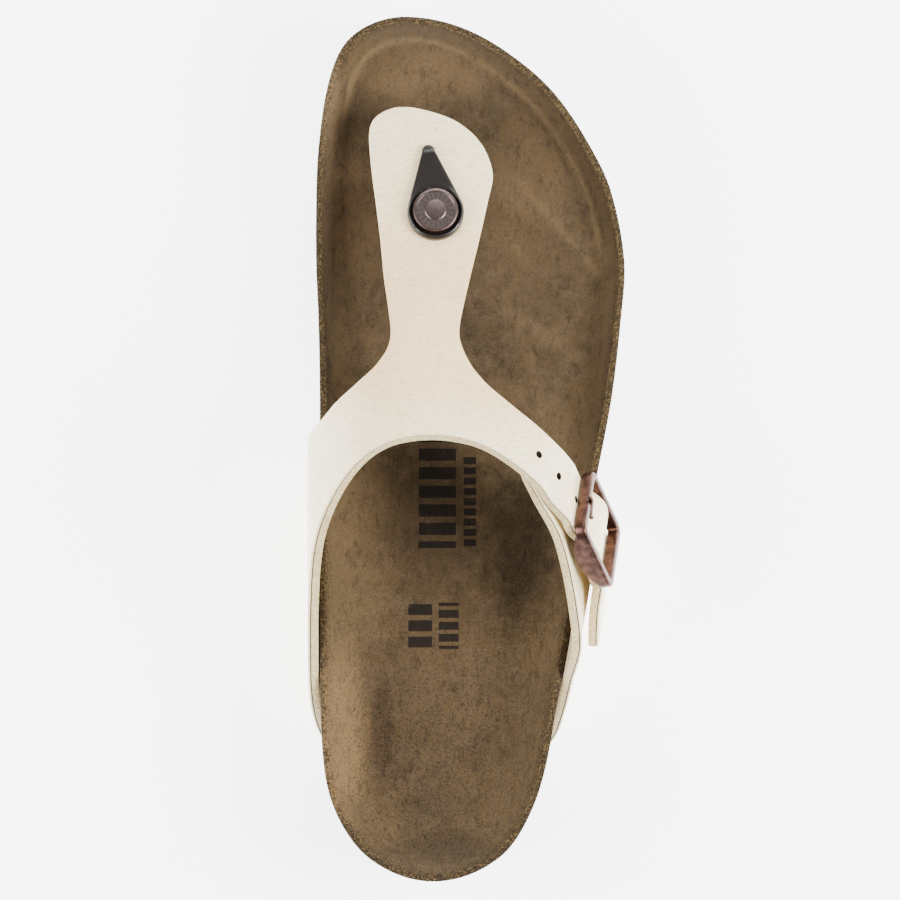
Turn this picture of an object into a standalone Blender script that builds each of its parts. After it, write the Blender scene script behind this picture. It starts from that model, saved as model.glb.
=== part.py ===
"""Toe post sandal for the right foot: cork footbed, foam outsole, T-shaped strap, side buckle.

Metres, +Z up. +Y runs from heel to toe and +X to the outer side of the foot. The origin is on
the floor under the middle of the heel.
"""

import math

import bmesh
import bpy
from mathutils import Vector

MM = 0.001

# Sizes of the whole sandal
LENGTH = 260 * MM
BALL_WIDTH = 93 * MM
HEEL_RIM = 38 * MM
INSTEP_HEIGHT = 77 * MM
HEEL_CENTRE = 30 * MM

# Sole
OUTSOLE_THICKNESS = 6.5 * MM
HEEL_BEVEL = 1.8 * MM
ARCH_RISE = 1.5 * MM
TOE_SPRING = 9 * MM
SOLE_EDGE_ROUND = 0.8 * MM
SOLE_FLARE = 0.4 * MM
GROOVE_WIDTH = 2.2 * MM
GROOVE_DEPTH = 2.2 * MM
GROOVE_ZIGZAG = 3 * MM

# Footbed
LINING_THICKNESS = 1.5 * MM
RIM_LAND = 2.2 * MM
RIM_ROUND = 0.7 * MM
RIM_SHOULDER = 1 * MM
METATARSAL_PAD = 2.2 * MM
TOE_RIDGE = 1.8 * MM

# Straps
STRAP_THICKNESS = 3.2 * MM
STRAP_SKIVED = 1.3 * MM
LASTING_MARGIN = 8 * MM
SEAT_OPENING = 1 * MM
STRAP_TAIL_WIDTH = 20 * MM
TAIL_LENGTH = 26 * MM
STRAP_HOLE_DIAMETER = 2.4 * MM
STRAP_HOLE_SPACING = 9.8 * MM

# Toe post and its rivet
POST_DIAMETER = 3.4 * MM
POST_DEPTH = 8 * MM
POST_ALONG = 0.8427
POST_ACROSS = -0.016
TAB_DIAMETER = 16.8 * MM
TAB_THICKNESS = 1.8 * MM
TAB_REACH = 18.8 * MM
TAB_TURN = math.radians(6.7)
CAP_DIAMETER = 13.4 * MM
CAP_HEIGHT = 1.7 * MM
CAP_EDGE_ROUND = 0.4 * MM
RIVET_DIAMETER = 3.6 * MM
WASHER_DIAMETER = 9 * MM
WASHER_THICKNESS = 0.9 * MM

# Buckle: its length lies across the strap and its height along it
BUCKLE_LENGTH = 26 * MM
BUCKLE_HEIGHT = 27 * MM
BUCKLE_DEPTH = 3.6 * MM
BUCKLE_BAR_WIDTH = 2.7 * MM
BUCKLE_CORNER = 3.5 * MM
BUCKLE_EDGE_ROUND = 0.45 * MM
CENTRE_BAR_DIAMETER = 2.0 * MM
PRONG_WIDTH = 2.0 * MM
PRONG_TIP = 1.5 * MM
LOOP_THICKNESS = 0.8 * MM
LOOP_WIDTH = 12 * MM
LOOP_REACH = 6.5 * MM

# Where the buckle sits and how it faces
BUCKLE_ALONG = 0.4031
BUCKLE_OUT = 0.427
BUCKLE_UP = 0.639
BUCKLE_LEAN = math.radians(18.5)
BUCKLE_TURN = math.radians(9.1)
STRAP_FALL = math.radians(43.3)

# Curved pieces lie this far apart
GAP = 0.3 * MM
# A strap under a buckle bar has this much more room
PASSING_ROOM = 0.6 * MM
# The prong goes through the strap this share of the way from the centre bar to the top bar
PRONG_HOLE_SHARE = 0.4

# Mesh steps
WELD_DISTANCE = 0.01 * MM
SIDE_STEPS = 36
STRAP_COLUMNS = 8
ROW_SPACING = 4.5 * MM

# Outline of the footbed's rim, seen from above.
# along: share of LENGTH from the heel. medial, lateral: shares of BALL_WIDTH from the axis.
OUTLINE = [
    # along, medial, lateral
    (0.000, 0.000, 0.000),
    (0.014, 0.152, 0.155),
    (0.037, 0.239, 0.242),
    (0.083, 0.319, 0.319),
    (0.129, 0.352, 0.361),
    (0.210, 0.365, 0.403),
    (0.325, 0.368, 0.461),
    (0.441, 0.369, 0.515),
    (0.556, 0.368, 0.577),
    (0.648, 0.373, 0.608),
    (0.717, 0.381, 0.620),
    (0.798, 0.380, 0.577),
    (0.844, 0.374, 0.519),
    (0.914, 0.347, 0.387),
    (0.960, 0.303, 0.236),
    (0.983, 0.245, 0.123),
    (1.000, 0.093, -0.093),
]

# Form of the footbed. Heights are shares of HEEL_RIM above the sole's underside.
# wall: how far in the rim's slope reaches. tuck: how far the side draws in below the rim.
# Both are shares of BALL_WIDTH.
FOOTBED = [
    # along, medial rim, lateral rim, bed, medial wall, lateral wall, medial tuck, lateral tuck
    (0.00, 0.97, 0.97, 0.58, 0.21, 0.21, 0.020, 0.020),
    (0.08, 1.01, 1.00, 0.58, 0.21, 0.21, 0.026, 0.024),
    (0.20, 1.05, 0.99, 0.58, 0.24, 0.20, 0.050, 0.038),
    (0.30, 1.09, 0.95, 0.61, 0.29, 0.18, 0.068, 0.048),
    (0.42, 1.01, 0.85, 0.62, 0.27, 0.13, 0.060, 0.044),
    (0.55, 0.87, 0.79, 0.58, 0.14, 0.10, 0.030, 0.028),
    (0.65, 0.78, 0.75, 0.53, 0.08, 0.08, 0.016, 0.018),
    (0.72, 0.74, 0.74, 0.51, 0.08, 0.08, 0.014, 0.016),
    (0.80, 0.74, 0.74, 0.52, 0.08, 0.08, 0.016, 0.018),
    (0.90, 0.71, 0.71, 0.49, 0.09, 0.09, 0.022, 0.022),
    (1.00, 0.66, 0.66, 0.44, 0.09, 0.09, 0.026, 0.026),
]

# Crest of the foot that the straps are lasted over, outside face of the strap.
# along: share of LENGTH. height: share of INSTEP_HEIGHT.
CREST = [
    # along, height
    (0.154, 1.270),
    (0.270, 1.270),
    (0.346, 1.255),
    (0.408, 1.205),
    (0.442, 1.150),
    (0.477, 1.080),
    (0.512, 1.000),
    (0.538, 0.928),
    (0.569, 0.853),
    (0.619, 0.752),
    (0.692, 0.652),
    (0.773, 0.572),
    (0.846, 0.522),
    (0.892, 0.500),
]
# Fullness of the cross section, sideways and upwards, at the inner and the outer side
MEDIAL_FULLNESS = (2.2, 1.8)
LATERAL_FULLNESS = (2.2, 1.3)

# T strap, from the sole on the inner side, over the instep, to just above the buckle.
# along: share of LENGTH. round: place round the foot, 0 on the crest, 1 where the side stands
# upright, 2 at the joint with the outsole, below 0 on the inner side.
T_STRAP = [
    # front along, front round, rear along, rear round
    (0.4885, -2.00, 0.158, -2.00),
    (0.4920, -1.80, 0.160, -1.72),
    (0.4985, -1.50, 0.170, -1.50),
    (0.5060, -1.20, 0.210, -1.08),
    (0.5130, -1.00, 0.262, -0.975),
    (0.5180, -0.88, 0.320, -0.915),
    (0.5270, -0.77, 0.372, -0.830),
    (0.5400, -0.66, 0.404, -0.735),
    (0.5610, -0.535, 0.436, -0.610),
    (0.5800, -0.390, 0.466, -0.480),
    (0.5990, -0.275, 0.493, -0.350),
    (0.6173, -0.193, 0.5095, -0.215),
    (0.6173, -0.105, 0.5172, -0.110),
    (0.6173, -0.017, 0.5190, -0.015),
    (0.6173, 0.071, 0.5150, 0.075),
    (0.5950, 0.102, 0.5090, 0.130),
    (0.5740, 0.155, 0.5000, 0.190),
    (0.5540, 0.235, 0.4880, 0.252),
    (0.5310, 0.345, 0.4735, 0.325),
    (0.5100, 0.460, 0.4570, 0.405),
    (0.4925, 0.545, 0.4430, 0.475),
]
# Rows of T_STRAP between which the stem grows out of the front edge
STEM_FROM, STEM_TO = 11, 14

# Stem of the T. along: share of LENGTH. medial, lateral: shares of BALL_WIDTH from the axis.
STEM = [
    # along, medial, lateral
    (0.6173, -0.1355, 0.0810),
    (0.6480, -0.142, 0.090),
    (0.6940, -0.158, 0.116),
    (0.7405, -0.171, 0.148),
    (0.7866, -0.187, 0.177),
    (0.8155, -0.198, 0.192),
    (0.8440, -0.206, 0.168),
    (0.8616, -0.208, 0.132),
    (0.8720, -0.204, 0.098),
    (0.8800, -0.193, 0.062),
    (0.8860, -0.175, 0.020),
    (0.8905, -0.150, -0.012),
    (0.8933, -0.122, -0.040),
]

# Side strap. Lower rows lie on the side of the foot, as in T_STRAP.
SIDE_STRAP_LOW = [
    # front along, front round, rear along, rear round
    (0.426, 2.00, 0.150, 2.00),
    (0.430, 1.75, 0.153, 1.72),
    (0.435, 1.50, 0.164, 1.50),
    (0.440, 1.20, 0.196, 1.14),
    (0.443, 1.00, 0.232, 1.00),
]
# Upper rows lie by the buckle's plane. across, down: shares of the buckle's length and height
# from its middle. out, and middle in: shares of STRAP_THICKNESS from the plane.
SIDE_STRAP_HIGH = [
    # front across, front down, front out, rear across, rear down, rear out, middle in
    (0.820, 0.110, 1.55, -0.910, 0.970, -1.55, 0.65),
    (0.680, -0.030, 0.32, -0.815, 0.560, -0.65, 0.25),
    (0.530, -0.270, 0.00, -0.700, 0.020, -0.05, 0.05),
    (0.440, -0.450, -0.05, -0.605, -0.420, -0.05, 0.05),
    (0.400, -0.700, -0.35, -0.500, -0.790, -1.15, 0.00),
    (0.300, -0.950, -0.85, -0.360, -1.000, -2.00, 0.00),
    (0.140, -1.070, -1.55, -0.200, -1.090, -2.15, 0.00),
]

# Free end of the T strap below the buckle, which turns in to the side strap.
# down: share of TAIL_LENGTH. width: share of STRAP_TAIL_WIDTH. out: shares of STRAP_THICKNESS.
TAIL = [
    # down, width, out
    (0.30, 1.00, -1.10),
    (0.65, 1.00, -2.20),
    (0.92, 0.96, -3.00),
    (1.00, 0.70, -3.20),
]

# Middles of the zigzag grooves in the tread, as shares of LENGTH
GROOVES = (0.055, 0.165, 0.225, 0.575, 0.635, 0.695, 0.755, 0.815, 0.875)


# Curves and tables


def through(knots, values, at):
    """Value of a smooth curve through (knot, value) pairs, level beyond its ends."""
    if at <= knots[0]:
        return values[0]
    if at >= knots[-1]:
        return values[-1]
    i = max(k for k in range(len(knots) - 1) if knots[k] <= at)

    def slope(k):
        a, b = max(k - 1, 0), min(k + 1, len(knots) - 1)
        return (values[b] - values[a]) / (knots[b] - knots[a])

    span = knots[i + 1] - knots[i]
    u = (at - knots[i]) / span
    return (
        (2 * u**3 - 3 * u**2 + 1) * values[i]
        + (u**3 - 2 * u**2 + u) * span * slope(i)
        + (3 * u**2 - 2 * u**3) * values[i + 1]
        + (u**3 - u**2) * span * slope(i + 1)
    )


def column(table, index, at, key=lambda share: share):
    """One column of a table, read smoothly at a share of the length."""
    knots = [key(row[0]) for row in table]
    return through(knots, [row[index] for row in table], key(at))


def ease(u):
    """0 to 1, level at both ends."""
    u = min(1.0, max(0.0, u))
    return u * u * (3 - 2 * u)


def turn(share):
    """Even steps of this put points closely at the round heel and toe."""
    return math.acos(1 - 2 * min(1.0, max(0.0, share))) / math.pi


def unturn(step):
    return (1 - math.cos(math.pi * step)) / 2


def along_to_y(share):
    return share * LENGTH - HEEL_CENTRE


def y_to_along(y):
    return (y + HEEL_CENTRE) / LENGTH


# Sole and footbed

MEDIAL, LATERAL = -1, 1


def pick(side, medial, lateral):
    return medial if side == MEDIAL else lateral


def rim_x(side, along):
    """Distance of the rim from the axis on one side."""
    return column(OUTLINE, pick(side, 1, 2), along, turn) * BALL_WIDTH


def lift(along):
    """Height of the sole's underside: bevelled heel, shallow arch, toe spring."""
    heel_flat, arch_rear, arch_front, toe_flat = 0.06, 0.29, 0.56, 0.72
    if along < heel_flat:
        return HEEL_BEVEL * (1 - along / heel_flat) ** 2
    if arch_rear < along < arch_front:
        share = (along - arch_rear) / (arch_front - arch_rear)
        return ARCH_RISE * math.sin(math.pi * share) ** 2
    if along > toe_flat:
        return TOE_SPRING * ((along - toe_flat) / (1 - toe_flat)) ** 2
    return 0.0


def joint_z(along):
    """Top of the outsole."""
    return lift(along) + OUTSOLE_THICKNESS


def rim_z(side, along):
    return lift(along) + column(FOOTBED, pick(side, 1, 2), along) * HEEL_RIM


def cork_rim_z(side, along):
    return rim_z(side, along) - RIM_ROUND - LINING_THICKNESS - GAP


def tuck(side, along):
    return column(FOOTBED, pick(side, 6, 7), along) * BALL_WIDTH


def wall_reach(side, along):
    return column(FOOTBED, pick(side, 4, 5), along) * BALL_WIDTH


def hump(distance, reach):
    return math.exp(-((distance / reach) ** 2))


def bed_z(x, y):
    """Foot side of the footbed away from the rim, with the pad and the ridge under the toes."""
    along = y_to_along(y)
    share = x / BALL_WIDTH
    pad = METATARSAL_PAD * hump(along - 0.60, 0.065) * hump(share - 0.10, 0.19)
    ridge_line = 0.815 - 0.10 * (share + 0.2) ** 2 - 0.06 * max(0.0, share)
    ridge = TOE_RIDGE * hump(along - ridge_line, 0.024)
    return lift(along) + column(FOOTBED, 3, along) * HEEL_RIM + pad + ridge


def around():
    """Round the outline from the heel, up the outer side and back down the inner side."""
    up = [(LATERAL, k / SIDE_STEPS) for k in range(SIDE_STEPS + 1)]
    down = [(MEDIAL, k / SIDE_STEPS) for k in range(SIDE_STEPS - 1, 0, -1)]
    return up + down


def spine_point(along):
    """Where the inward lines of the footbed end: on a line from heel to toe."""
    spine_heel, spine_toe = 0.125, 0.86
    share = spine_heel + along * (spine_toe - spine_heel)
    middle = (rim_x(LATERAL, share) - rim_x(MEDIAL, share)) / 2
    return Vector((middle, along_to_y(share)))


def edge_point(side, step, inset=0.0):
    """Point of the outline in plan, drawn in by inset towards the spine."""
    along = unturn(step)
    outer = Vector((side * rim_x(side, along), along_to_y(along)))
    inward = spine_point(along) - outer
    return outer + inward.normalized() * inset


def side_x(side, along, inset):
    """Distance of the cork's side from the axis at a share of the length, drawn in by inset."""
    share = along
    for _ in range(6):
        place = edge_point(side, turn(share), inset)
        share -= (place.y - along_to_y(along)) / LENGTH
    return abs(place.x)


def footbed_point(side, step, share):
    """Point on the foot side of the footbed, share of the way from rim to spine."""
    along = unturn(step)
    outer = edge_point(side, step)
    place = outer.lerp(spine_point(along), share)
    inset = (place - outer).length
    top, bed = rim_z(side, along), bed_z(place.x, place.y)
    reach = wall_reach(side, along)
    rise = (1 - min(1.0, max(0.0, inset - RIM_LAND) / reach)) ** 2
    rounded = RIM_ROUND * (1 - min(1.0, inset / RIM_LAND)) ** 2
    return Vector((place.x, place.y, bed + (top - bed) * rise - rounded))


# Shares of the way in from the rim at which the footbed has a ring of points
RINGS = (0.0, 0.025, 0.06, 0.12, 0.2, 0.31, 0.46, 0.66, 0.88)


def rings(lower_by):
    """Rings of points over the footbed's foot side, lowered by a thickness."""
    down = Vector((0, 0, lower_by))
    return [
        [footbed_point(side, step, share) - down for side, step in around()]
        for share in RINGS
    ]


def wall_ring(height):
    """Ring round the sole's side. height: 0 at the joint to 1 at the rim."""
    ring = []
    for side, step in around():
        along = unturn(step)
        place = edge_point(side, step, tuck(side, along) * (1 - height))
        low = joint_z(along) + GAP
        ring.append(Vector((place.x, place.y, low + (cork_rim_z(side, along) - low) * height)))
    return ring


# Foot surface that the straps lie on


def upright_z(side, along):
    """Height at which the strap stands upright beside the rim."""
    return rim_z(side, along) - RIM_SHOULDER


def side_reach(side, along):
    """Outside face of a strap beside the rim, from the axis."""
    return rim_x(side, along) + GAP + STRAP_THICKNESS


def foot_point(along, place):
    """Outside face of a strap at a share of the length and a place round the foot."""
    side = MEDIAL if place < 0 else LATERAL
    amount = abs(place)
    reach, low = side_reach(side, along), upright_z(side, along)
    y = along_to_y(along)
    if amount <= 1:
        wide, tall = pick(side, MEDIAL_FULLNESS, LATERAL_FULLNESS)
        angle = amount * math.pi / 2
        height = column(CREST, 1, along) * INSTEP_HEIGHT - low
        x = reach * math.sin(angle) ** (2 / wide)
        return Vector((side * x, y, low + height * max(0.0, math.cos(angle)) ** (2 / tall)))
    drop = min(1.0, amount - 1)
    foot = joint_z(along) + GAP
    z = low + (foot - low) * drop
    top = cork_rim_z(side, along)
    drawn_in = tuck(side, along) * max(0.0, top - z) / (top - foot)
    stand_off = (GAP + STRAP_THICKNESS) * (1 - ease((drop - 0.5) / 0.5))
    x = side_x(side, along, drawn_in) + stand_off
    return Vector((side * (x - max(0.0, amount - 2) * LASTING_MARGIN), y, z))


def place_of_x(x, along):
    """Place round the foot of a point on the upper part, seen from above."""
    side = MEDIAL if x < 0 else LATERAL
    wide = pick(side, MEDIAL_FULLNESS, LATERAL_FULLNESS)[0]
    share = min(1.0, abs(x) / side_reach(side, along))
    return side * math.asin(share ** (wide / 2)) * 2 / math.pi


def foot_normal(along, place):
    """Outward direction of the foot surface near the crest."""
    step_along, step_place = 0.004, 0.01
    forward = foot_point(along + step_along, place) - foot_point(along - step_along, place)
    outward = foot_point(along, place + step_place) - foot_point(along, place - step_place)
    return outward.cross(forward).normalized()


# Buckle's own frame: across the strap, down along it, and out from the foot

OUT = Vector(
    (
        math.cos(BUCKLE_LEAN) * math.cos(BUCKLE_TURN),
        math.cos(BUCKLE_LEAN) * math.sin(BUCKLE_TURN),
        math.sin(BUCKLE_LEAN),
    )
)
REARWARD = Vector((OUT.y, -OUT.x, 0)).normalized()
DOWNWARD = REARWARD.cross(OUT).normalized()
if DOWNWARD.z > 0:
    DOWNWARD = -DOWNWARD
DOWN = REARWARD * math.cos(STRAP_FALL) + DOWNWARD * math.sin(STRAP_FALL)
ACROSS = DOWNWARD * math.cos(STRAP_FALL) - REARWARD * math.sin(STRAP_FALL)
BUCKLE_SEAT = Vector(
    (
        BUCKLE_OUT * BALL_WIDTH + GAP + STRAP_THICKNESS,
        along_to_y(BUCKLE_ALONG),
        BUCKLE_UP * INSTEP_HEIGHT,
    )
)

# Heights above the side strap's outside face, in the buckle's frame
BAR_OUT = CENTRE_BAR_DIAMETER / 2 + LOOP_THICKNESS + 2 * GAP
STRAP_OVER_BAR = BAR_OUT + CENTRE_BAR_DIAMETER / 2 + LOOP_THICKNESS + 2 * GAP
STRAP_UNDER_ENDS = GAP + PASSING_ROOM
FRAME_LOW = STRAP_UNDER_ENDS + STRAP_THICKNESS + GAP
FRAME_HIGH = FRAME_LOW + BUCKLE_DEPTH
END_BAR_DOWN = (BUCKLE_HEIGHT - BUCKLE_BAR_WIDTH) / 2
STRAP_HUMP = END_BAR_DOWN - BUCKLE_BAR_WIDTH / 2


def in_buckle(across, down, out):
    return BUCKLE_SEAT + ACROSS * across + DOWN * down + OUT * out


def strap_rise(down):
    """Inside face of the T strap above the side strap, under, over and under the bars."""
    if abs(down) >= STRAP_HUMP:
        return STRAP_UNDER_ENDS
    share = (1 + math.cos(math.pi * down / STRAP_HUMP)) / 2
    return STRAP_UNDER_ENDS + (STRAP_OVER_BAR - STRAP_UNDER_ENDS) * share


def strap_outside(down):
    """Place down and out of the T strap's outside face, square to its inside face at down."""
    step = 0.1 * MM
    slope = (strap_rise(down + step) - strap_rise(down - step)) / (2 * step)
    length = math.hypot(1, slope)
    return down - STRAP_THICKNESS * slope / length, strap_rise(down) + STRAP_THICKNESS / length


# Mesh tools


def paint(obj, colour, roughness, metallic=0.0):
    material = bpy.data.materials.new(obj.name)
    material.use_nodes = True
    shader = material.node_tree.nodes["Principled BSDF"]
    shader.inputs["Base Color"].default_value = (*colour, 1)
    shader.inputs["Roughness"].default_value = roughness
    shader.inputs["Metallic"].default_value = metallic
    obj.data.materials.append(material)
    return obj


def new_object(name, points, faces):
    """Closed mesh object with its faces pointing out."""
    mesh = bpy.data.meshes.new(name)
    mesh.from_pydata([tuple(p) for p in points], [], faces)
    shape = bmesh.new()
    shape.from_mesh(mesh)
    bmesh.ops.recalc_face_normals(shape, faces=shape.faces)
    bmesh.ops.triangulate(shape, faces=shape.faces)
    shape.to_mesh(mesh)
    shape.free()
    obj = bpy.data.objects.new(name, mesh)
    bpy.context.scene.collection.objects.link(obj)
    mesh.shade_smooth()
    mesh.set_sharp_from_angle(angle=math.radians(40))
    return obj


def band(first, second, count):
    """Quads between two rings of points that start at these numbers."""
    return [
        (first + k, first + (k + 1) % count, second + (k + 1) % count, second + k)
        for k in range(count)
    ]


def strips(first, count):
    """Faces that close a ring by joining its outer side to its inner side."""
    half = count // 2
    faces = [(first, first + 1, first + count - 1)]
    for k in range(1, half - 1):
        faces.append((first + k, first + k + 1, first + count - k - 1, first + count - k))
    faces.append((first + half - 1, first + half, first + half + 1))
    return faces


def ring_body(name, levels):
    """Closed body through a stack of rings, closed by strips at both ends."""
    count = len(levels[0])
    points = [p for ring in levels for p in ring]
    faces = strips(0, count) + strips((len(levels) - 1) * count, count)
    for i in range(len(levels) - 1):
        faces += band(i * count, (i + 1) * count, count)
    return new_object(name, points, faces)


def disc_body(name, levels):
    """Closed body through a stack of rings, closed by a flat face at both ends."""
    count = len(levels[0])
    last = (len(levels) - 1) * count
    points = [p for ring in levels for p in ring]
    faces = [tuple(range(count)), tuple(range(last, last + count))]
    for i in range(len(levels) - 1):
        faces += band(i * count, (i + 1) * count, count)
    return new_object(name, points, faces)


def tube_body(name, path, radii, sides, sideways):
    """Round bar along a path that lies in a plane at right angles to sideways."""
    levels = []
    for i, point in enumerate(path):
        ahead = path[min(i + 1, len(path) - 1)] - path[max(i - 1, 0)]
        up = sideways.cross(ahead).normalized()
        turns = [2 * math.pi * k / sides for k in range(sides)]
        levels.append(
            [point + (sideways * math.cos(a) + up * math.sin(a)) * radii[i] for a in turns]
        )
    return disc_body(name, levels)


def loft(stations):
    """Rows of points through stations, and the number of the row that each station gave."""
    knots = [0.0]
    for one, two in zip(stations, stations[1:]):
        knots.append(knots[-1] + sum((b - a).length for a, b in zip(one, two)) / len(one))
    rows, numbers = [], []
    for i in range(len(stations) - 1):
        numbers.append(len(rows))
        steps = max(1, round((knots[i + 1] - knots[i]) / ROW_SPACING))
        for k in range(steps):
            at = knots[i] + (knots[i + 1] - knots[i]) * k / steps
            row = []
            for j in range(len(stations[0])):
                line = [[s[j][axis] for s in stations] for axis in range(3)]
                row.append(Vector([through(knots, values, at) for values in line]))
            rows.append(row)
    numbers.append(len(rows))
    rows.append(list(stations[-1]))
    return rows, numbers


def grid_faces(rows, columns):
    faces = []
    for i in range(rows - 1):
        for j in range(columns - 1):
            k = i * columns + j
            faces.append((k, k + 1, k + columns + 1, k + columns))
    return faces


def thickened(name, points, faces, thickness, outward, grow=0.0):
    """Solid of a sheet. points are its outside face, thickness is a list with one for each.

    outward is a direction that the first face should look in. grow makes the solid that much
    larger all round, for a seat cut into a neighbour.
    """
    sheet = bmesh.new()
    made = [sheet.verts.new(p) for p in points]
    for face in faces:
        sheet.faces.new([made[k] for k in face])
    sheet.faces.ensure_lookup_table()
    sheet.normal_update()
    if sheet.faces[0].normal.dot(outward) < 0:
        bmesh.ops.reverse_faces(sheet, faces=sheet.faces)
        sheet.normal_update()
    outer = [v.co + v.normal * grow for v in made]
    inner = [v.co - v.normal * (t + grow) for v, t in zip(made, thickness)]
    for vert, place in zip(made, outer):
        vert.co = place
    back = [sheet.verts.new(p) for p in inner]
    sheet.verts.index_update()
    front_faces = list(sheet.faces)
    edges = [e for e in sheet.edges if e.is_boundary]
    loops = [(e.link_loops[0].vert.index, e.other_vert(e.link_loops[0].vert).index) for e in edges]
    for face in front_faces:
        sheet.faces.new([back[v.index] for v in reversed(face.verts)])
    for a, b in loops:
        sheet.faces.new([made[b], made[a], back[a], back[b]])
    bmesh.ops.triangulate(sheet, faces=sheet.faces)
    mesh = bpy.data.meshes.new(name)
    sheet.to_mesh(mesh)
    sheet.free()
    obj = bpy.data.objects.new(name, mesh)
    bpy.context.scene.collection.objects.link(obj)
    mesh.shade_smooth()
    mesh.set_sharp_from_angle(angle=math.radians(40))
    return obj


def combine(obj, tool, operation):
    """Boolean of obj with a hidden tool object."""
    tool.hide_render = True
    tool.display_type = "WIRE"
    step = obj.modifiers.new(operation.title(), "BOOLEAN")
    step.operation = operation
    step.solver = "EXACT"
    step.object = tool
    return obj


def weld(obj):
    """Joins the doubled points that a cut can leave."""
    step = obj.modifiers.new("Weld", "WELD")
    step.merge_threshold = WELD_DISTANCE
    return obj


# Pieces


def make_outsole():
    """Foam outsole with a bevelled heel, toe spring and zigzag grooves."""
    top, middle, bottom, foot = [], [], [], []
    for side, step in around():
        along = unturn(step)
        inset = tuck(side, along)
        for ring, extra, share in (
            (top, 0.0, 1.0),
            (middle, -SOLE_FLARE, 0.45),
            (bottom, -0.75 * SOLE_FLARE, SOLE_EDGE_ROUND / OUTSOLE_THICKNESS),
            (foot, SOLE_EDGE_ROUND, 0.0),
        ):
            place = edge_point(side, step, inset + extra)
            here = y_to_along(place.y)
            ring.append(Vector((place.x, place.y, lift(here) + OUTSOLE_THICKNESS * share)))
    outsole = ring_body("outsole", [top, middle, bottom, foot])
    return combine(outsole, make_groove_tool(), "DIFFERENCE")


def make_groove_tool():
    """Zigzag bars, one for each groove, that cut the tread."""
    points, faces = [], []
    half, bends = 0.72 * BALL_WIDTH, 9
    for share in GROOVES:
        first = len(points)
        floor = lift(share) + GROOVE_DEPTH
        for k in range(bends):
            x = -half + 2 * half * k / (bends - 1)
            y = along_to_y(share) + (GROOVE_ZIGZAG if k % 2 else -GROOVE_ZIGZAG)
            for side, z in ((-1, floor), (1, floor), (1, -TOE_SPRING), (-1, -TOE_SPRING)):
                points.append((x, y + side * GROOVE_WIDTH / 2, z))
        for k in range(bends - 1):
            faces += band(first + 4 * k, first + 4 * k + 4, 4)
        faces.append(tuple(range(first, first + 4)))
        faces.append(tuple(range(first + 4 * bends - 4, first + 4 * bends)))
    return new_object("groove_tool", points, faces)


def make_midsole(seat_tools, post_hole):
    """Cork footbed core with seats for the straps' lower edges and a hole for the toe post."""
    top = rings(LINING_THICKNESS + GAP)
    top[0] = wall_ring(1.0)
    levels = [wall_ring(0.0), wall_ring(0.35), wall_ring(0.7)] + top
    midsole = ring_body("midsole", levels)
    for tool in seat_tools:
        combine(midsole, tool, "DIFFERENCE")
    return combine(midsole, post_hole, "DIFFERENCE")


def make_lining(post_hole):
    """Suede that covers the cork up to the rim."""
    under = rings(LINING_THICKNESS)
    over = rings(0.0)
    lining = ring_body("footbed_lining", under[::-1] + over)
    return combine(lining, post_hole, "DIFFERENCE")


def side_stations(table):
    """Lines across a strap on the foot surface, from its front edge to its rear edge."""
    return [
        [
            foot_point(
                front_along + (rear_along - front_along) * j / STRAP_COLUMNS,
                front_place + (rear_place - front_place) * j / STRAP_COLUMNS,
            )
            for j in range(STRAP_COLUMNS + 1)
        ]
        for front_along, front_place, rear_along, rear_place in table
    ]


def lasting_row(table_row):
    """Inner end of the margin that is turned in under the cork."""
    front_along, place, rear_along, _ = table_row
    turned_in = math.copysign(3.0, place)
    shorter = 0.02
    return side_stations([(front_along - shorter, turned_in, rear_along + shorter, turned_in)])[0]


def strap_rows(table, higher):
    """Rows of a strap from the sole upwards, thickness of each row, and each station's row."""
    rows, numbers = loft(side_stations(table) + higher)
    rows.insert(0, lasting_row(table[0]))
    numbers = [n + 1 for n in numbers]
    skived_end = numbers[2]
    thickness = []
    for i in range(len(rows)):
        share = min(1.0, max(0.0, (i - 1) / (skived_end - 1)))
        thickness.append(STRAP_SKIVED + (STRAP_THICKNESS - STRAP_SKIVED) * ease(share))
    return rows, thickness, numbers


def longer(row, by):
    """The same row made longer at both ends."""
    front = row[0] + (row[0] - row[1]).normalized() * by
    rear = row[-1] + (row[-1] - row[-2]).normalized() * by
    return [front, *row[1:-1], rear]


def strap_seat(name, rows, thickness, outward):
    """Tool that cuts the seat of a strap's lower edge into the cork."""
    deeper = [a + (a - b).normalized() * GAP for a, b in zip(rows[0], rows[1])]
    grown = [longer(row, GAP) for row in [deeper] + rows[1:]]
    # The lowest rows reach on out of the cork, so that the cut opens its underside and its side
    side = math.copysign(SEAT_OPENING, rows[1][0].x)
    opening = [Vector((0, 0, -SEAT_OPENING)), Vector((side, 0, -SEAT_OPENING)), Vector((side, 0, 0))]
    opening += [Vector((0, 0, 0))] * (len(rows) - 3)
    points = [p + o for row, o in zip(grown, opening) for p in row]
    flat = [t + o.length for t, o in zip(thickness, opening) for _ in rows[0]]
    return thickened(name, points, grid_faces(len(rows), len(rows[0])), flat, outward, GAP)


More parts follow.
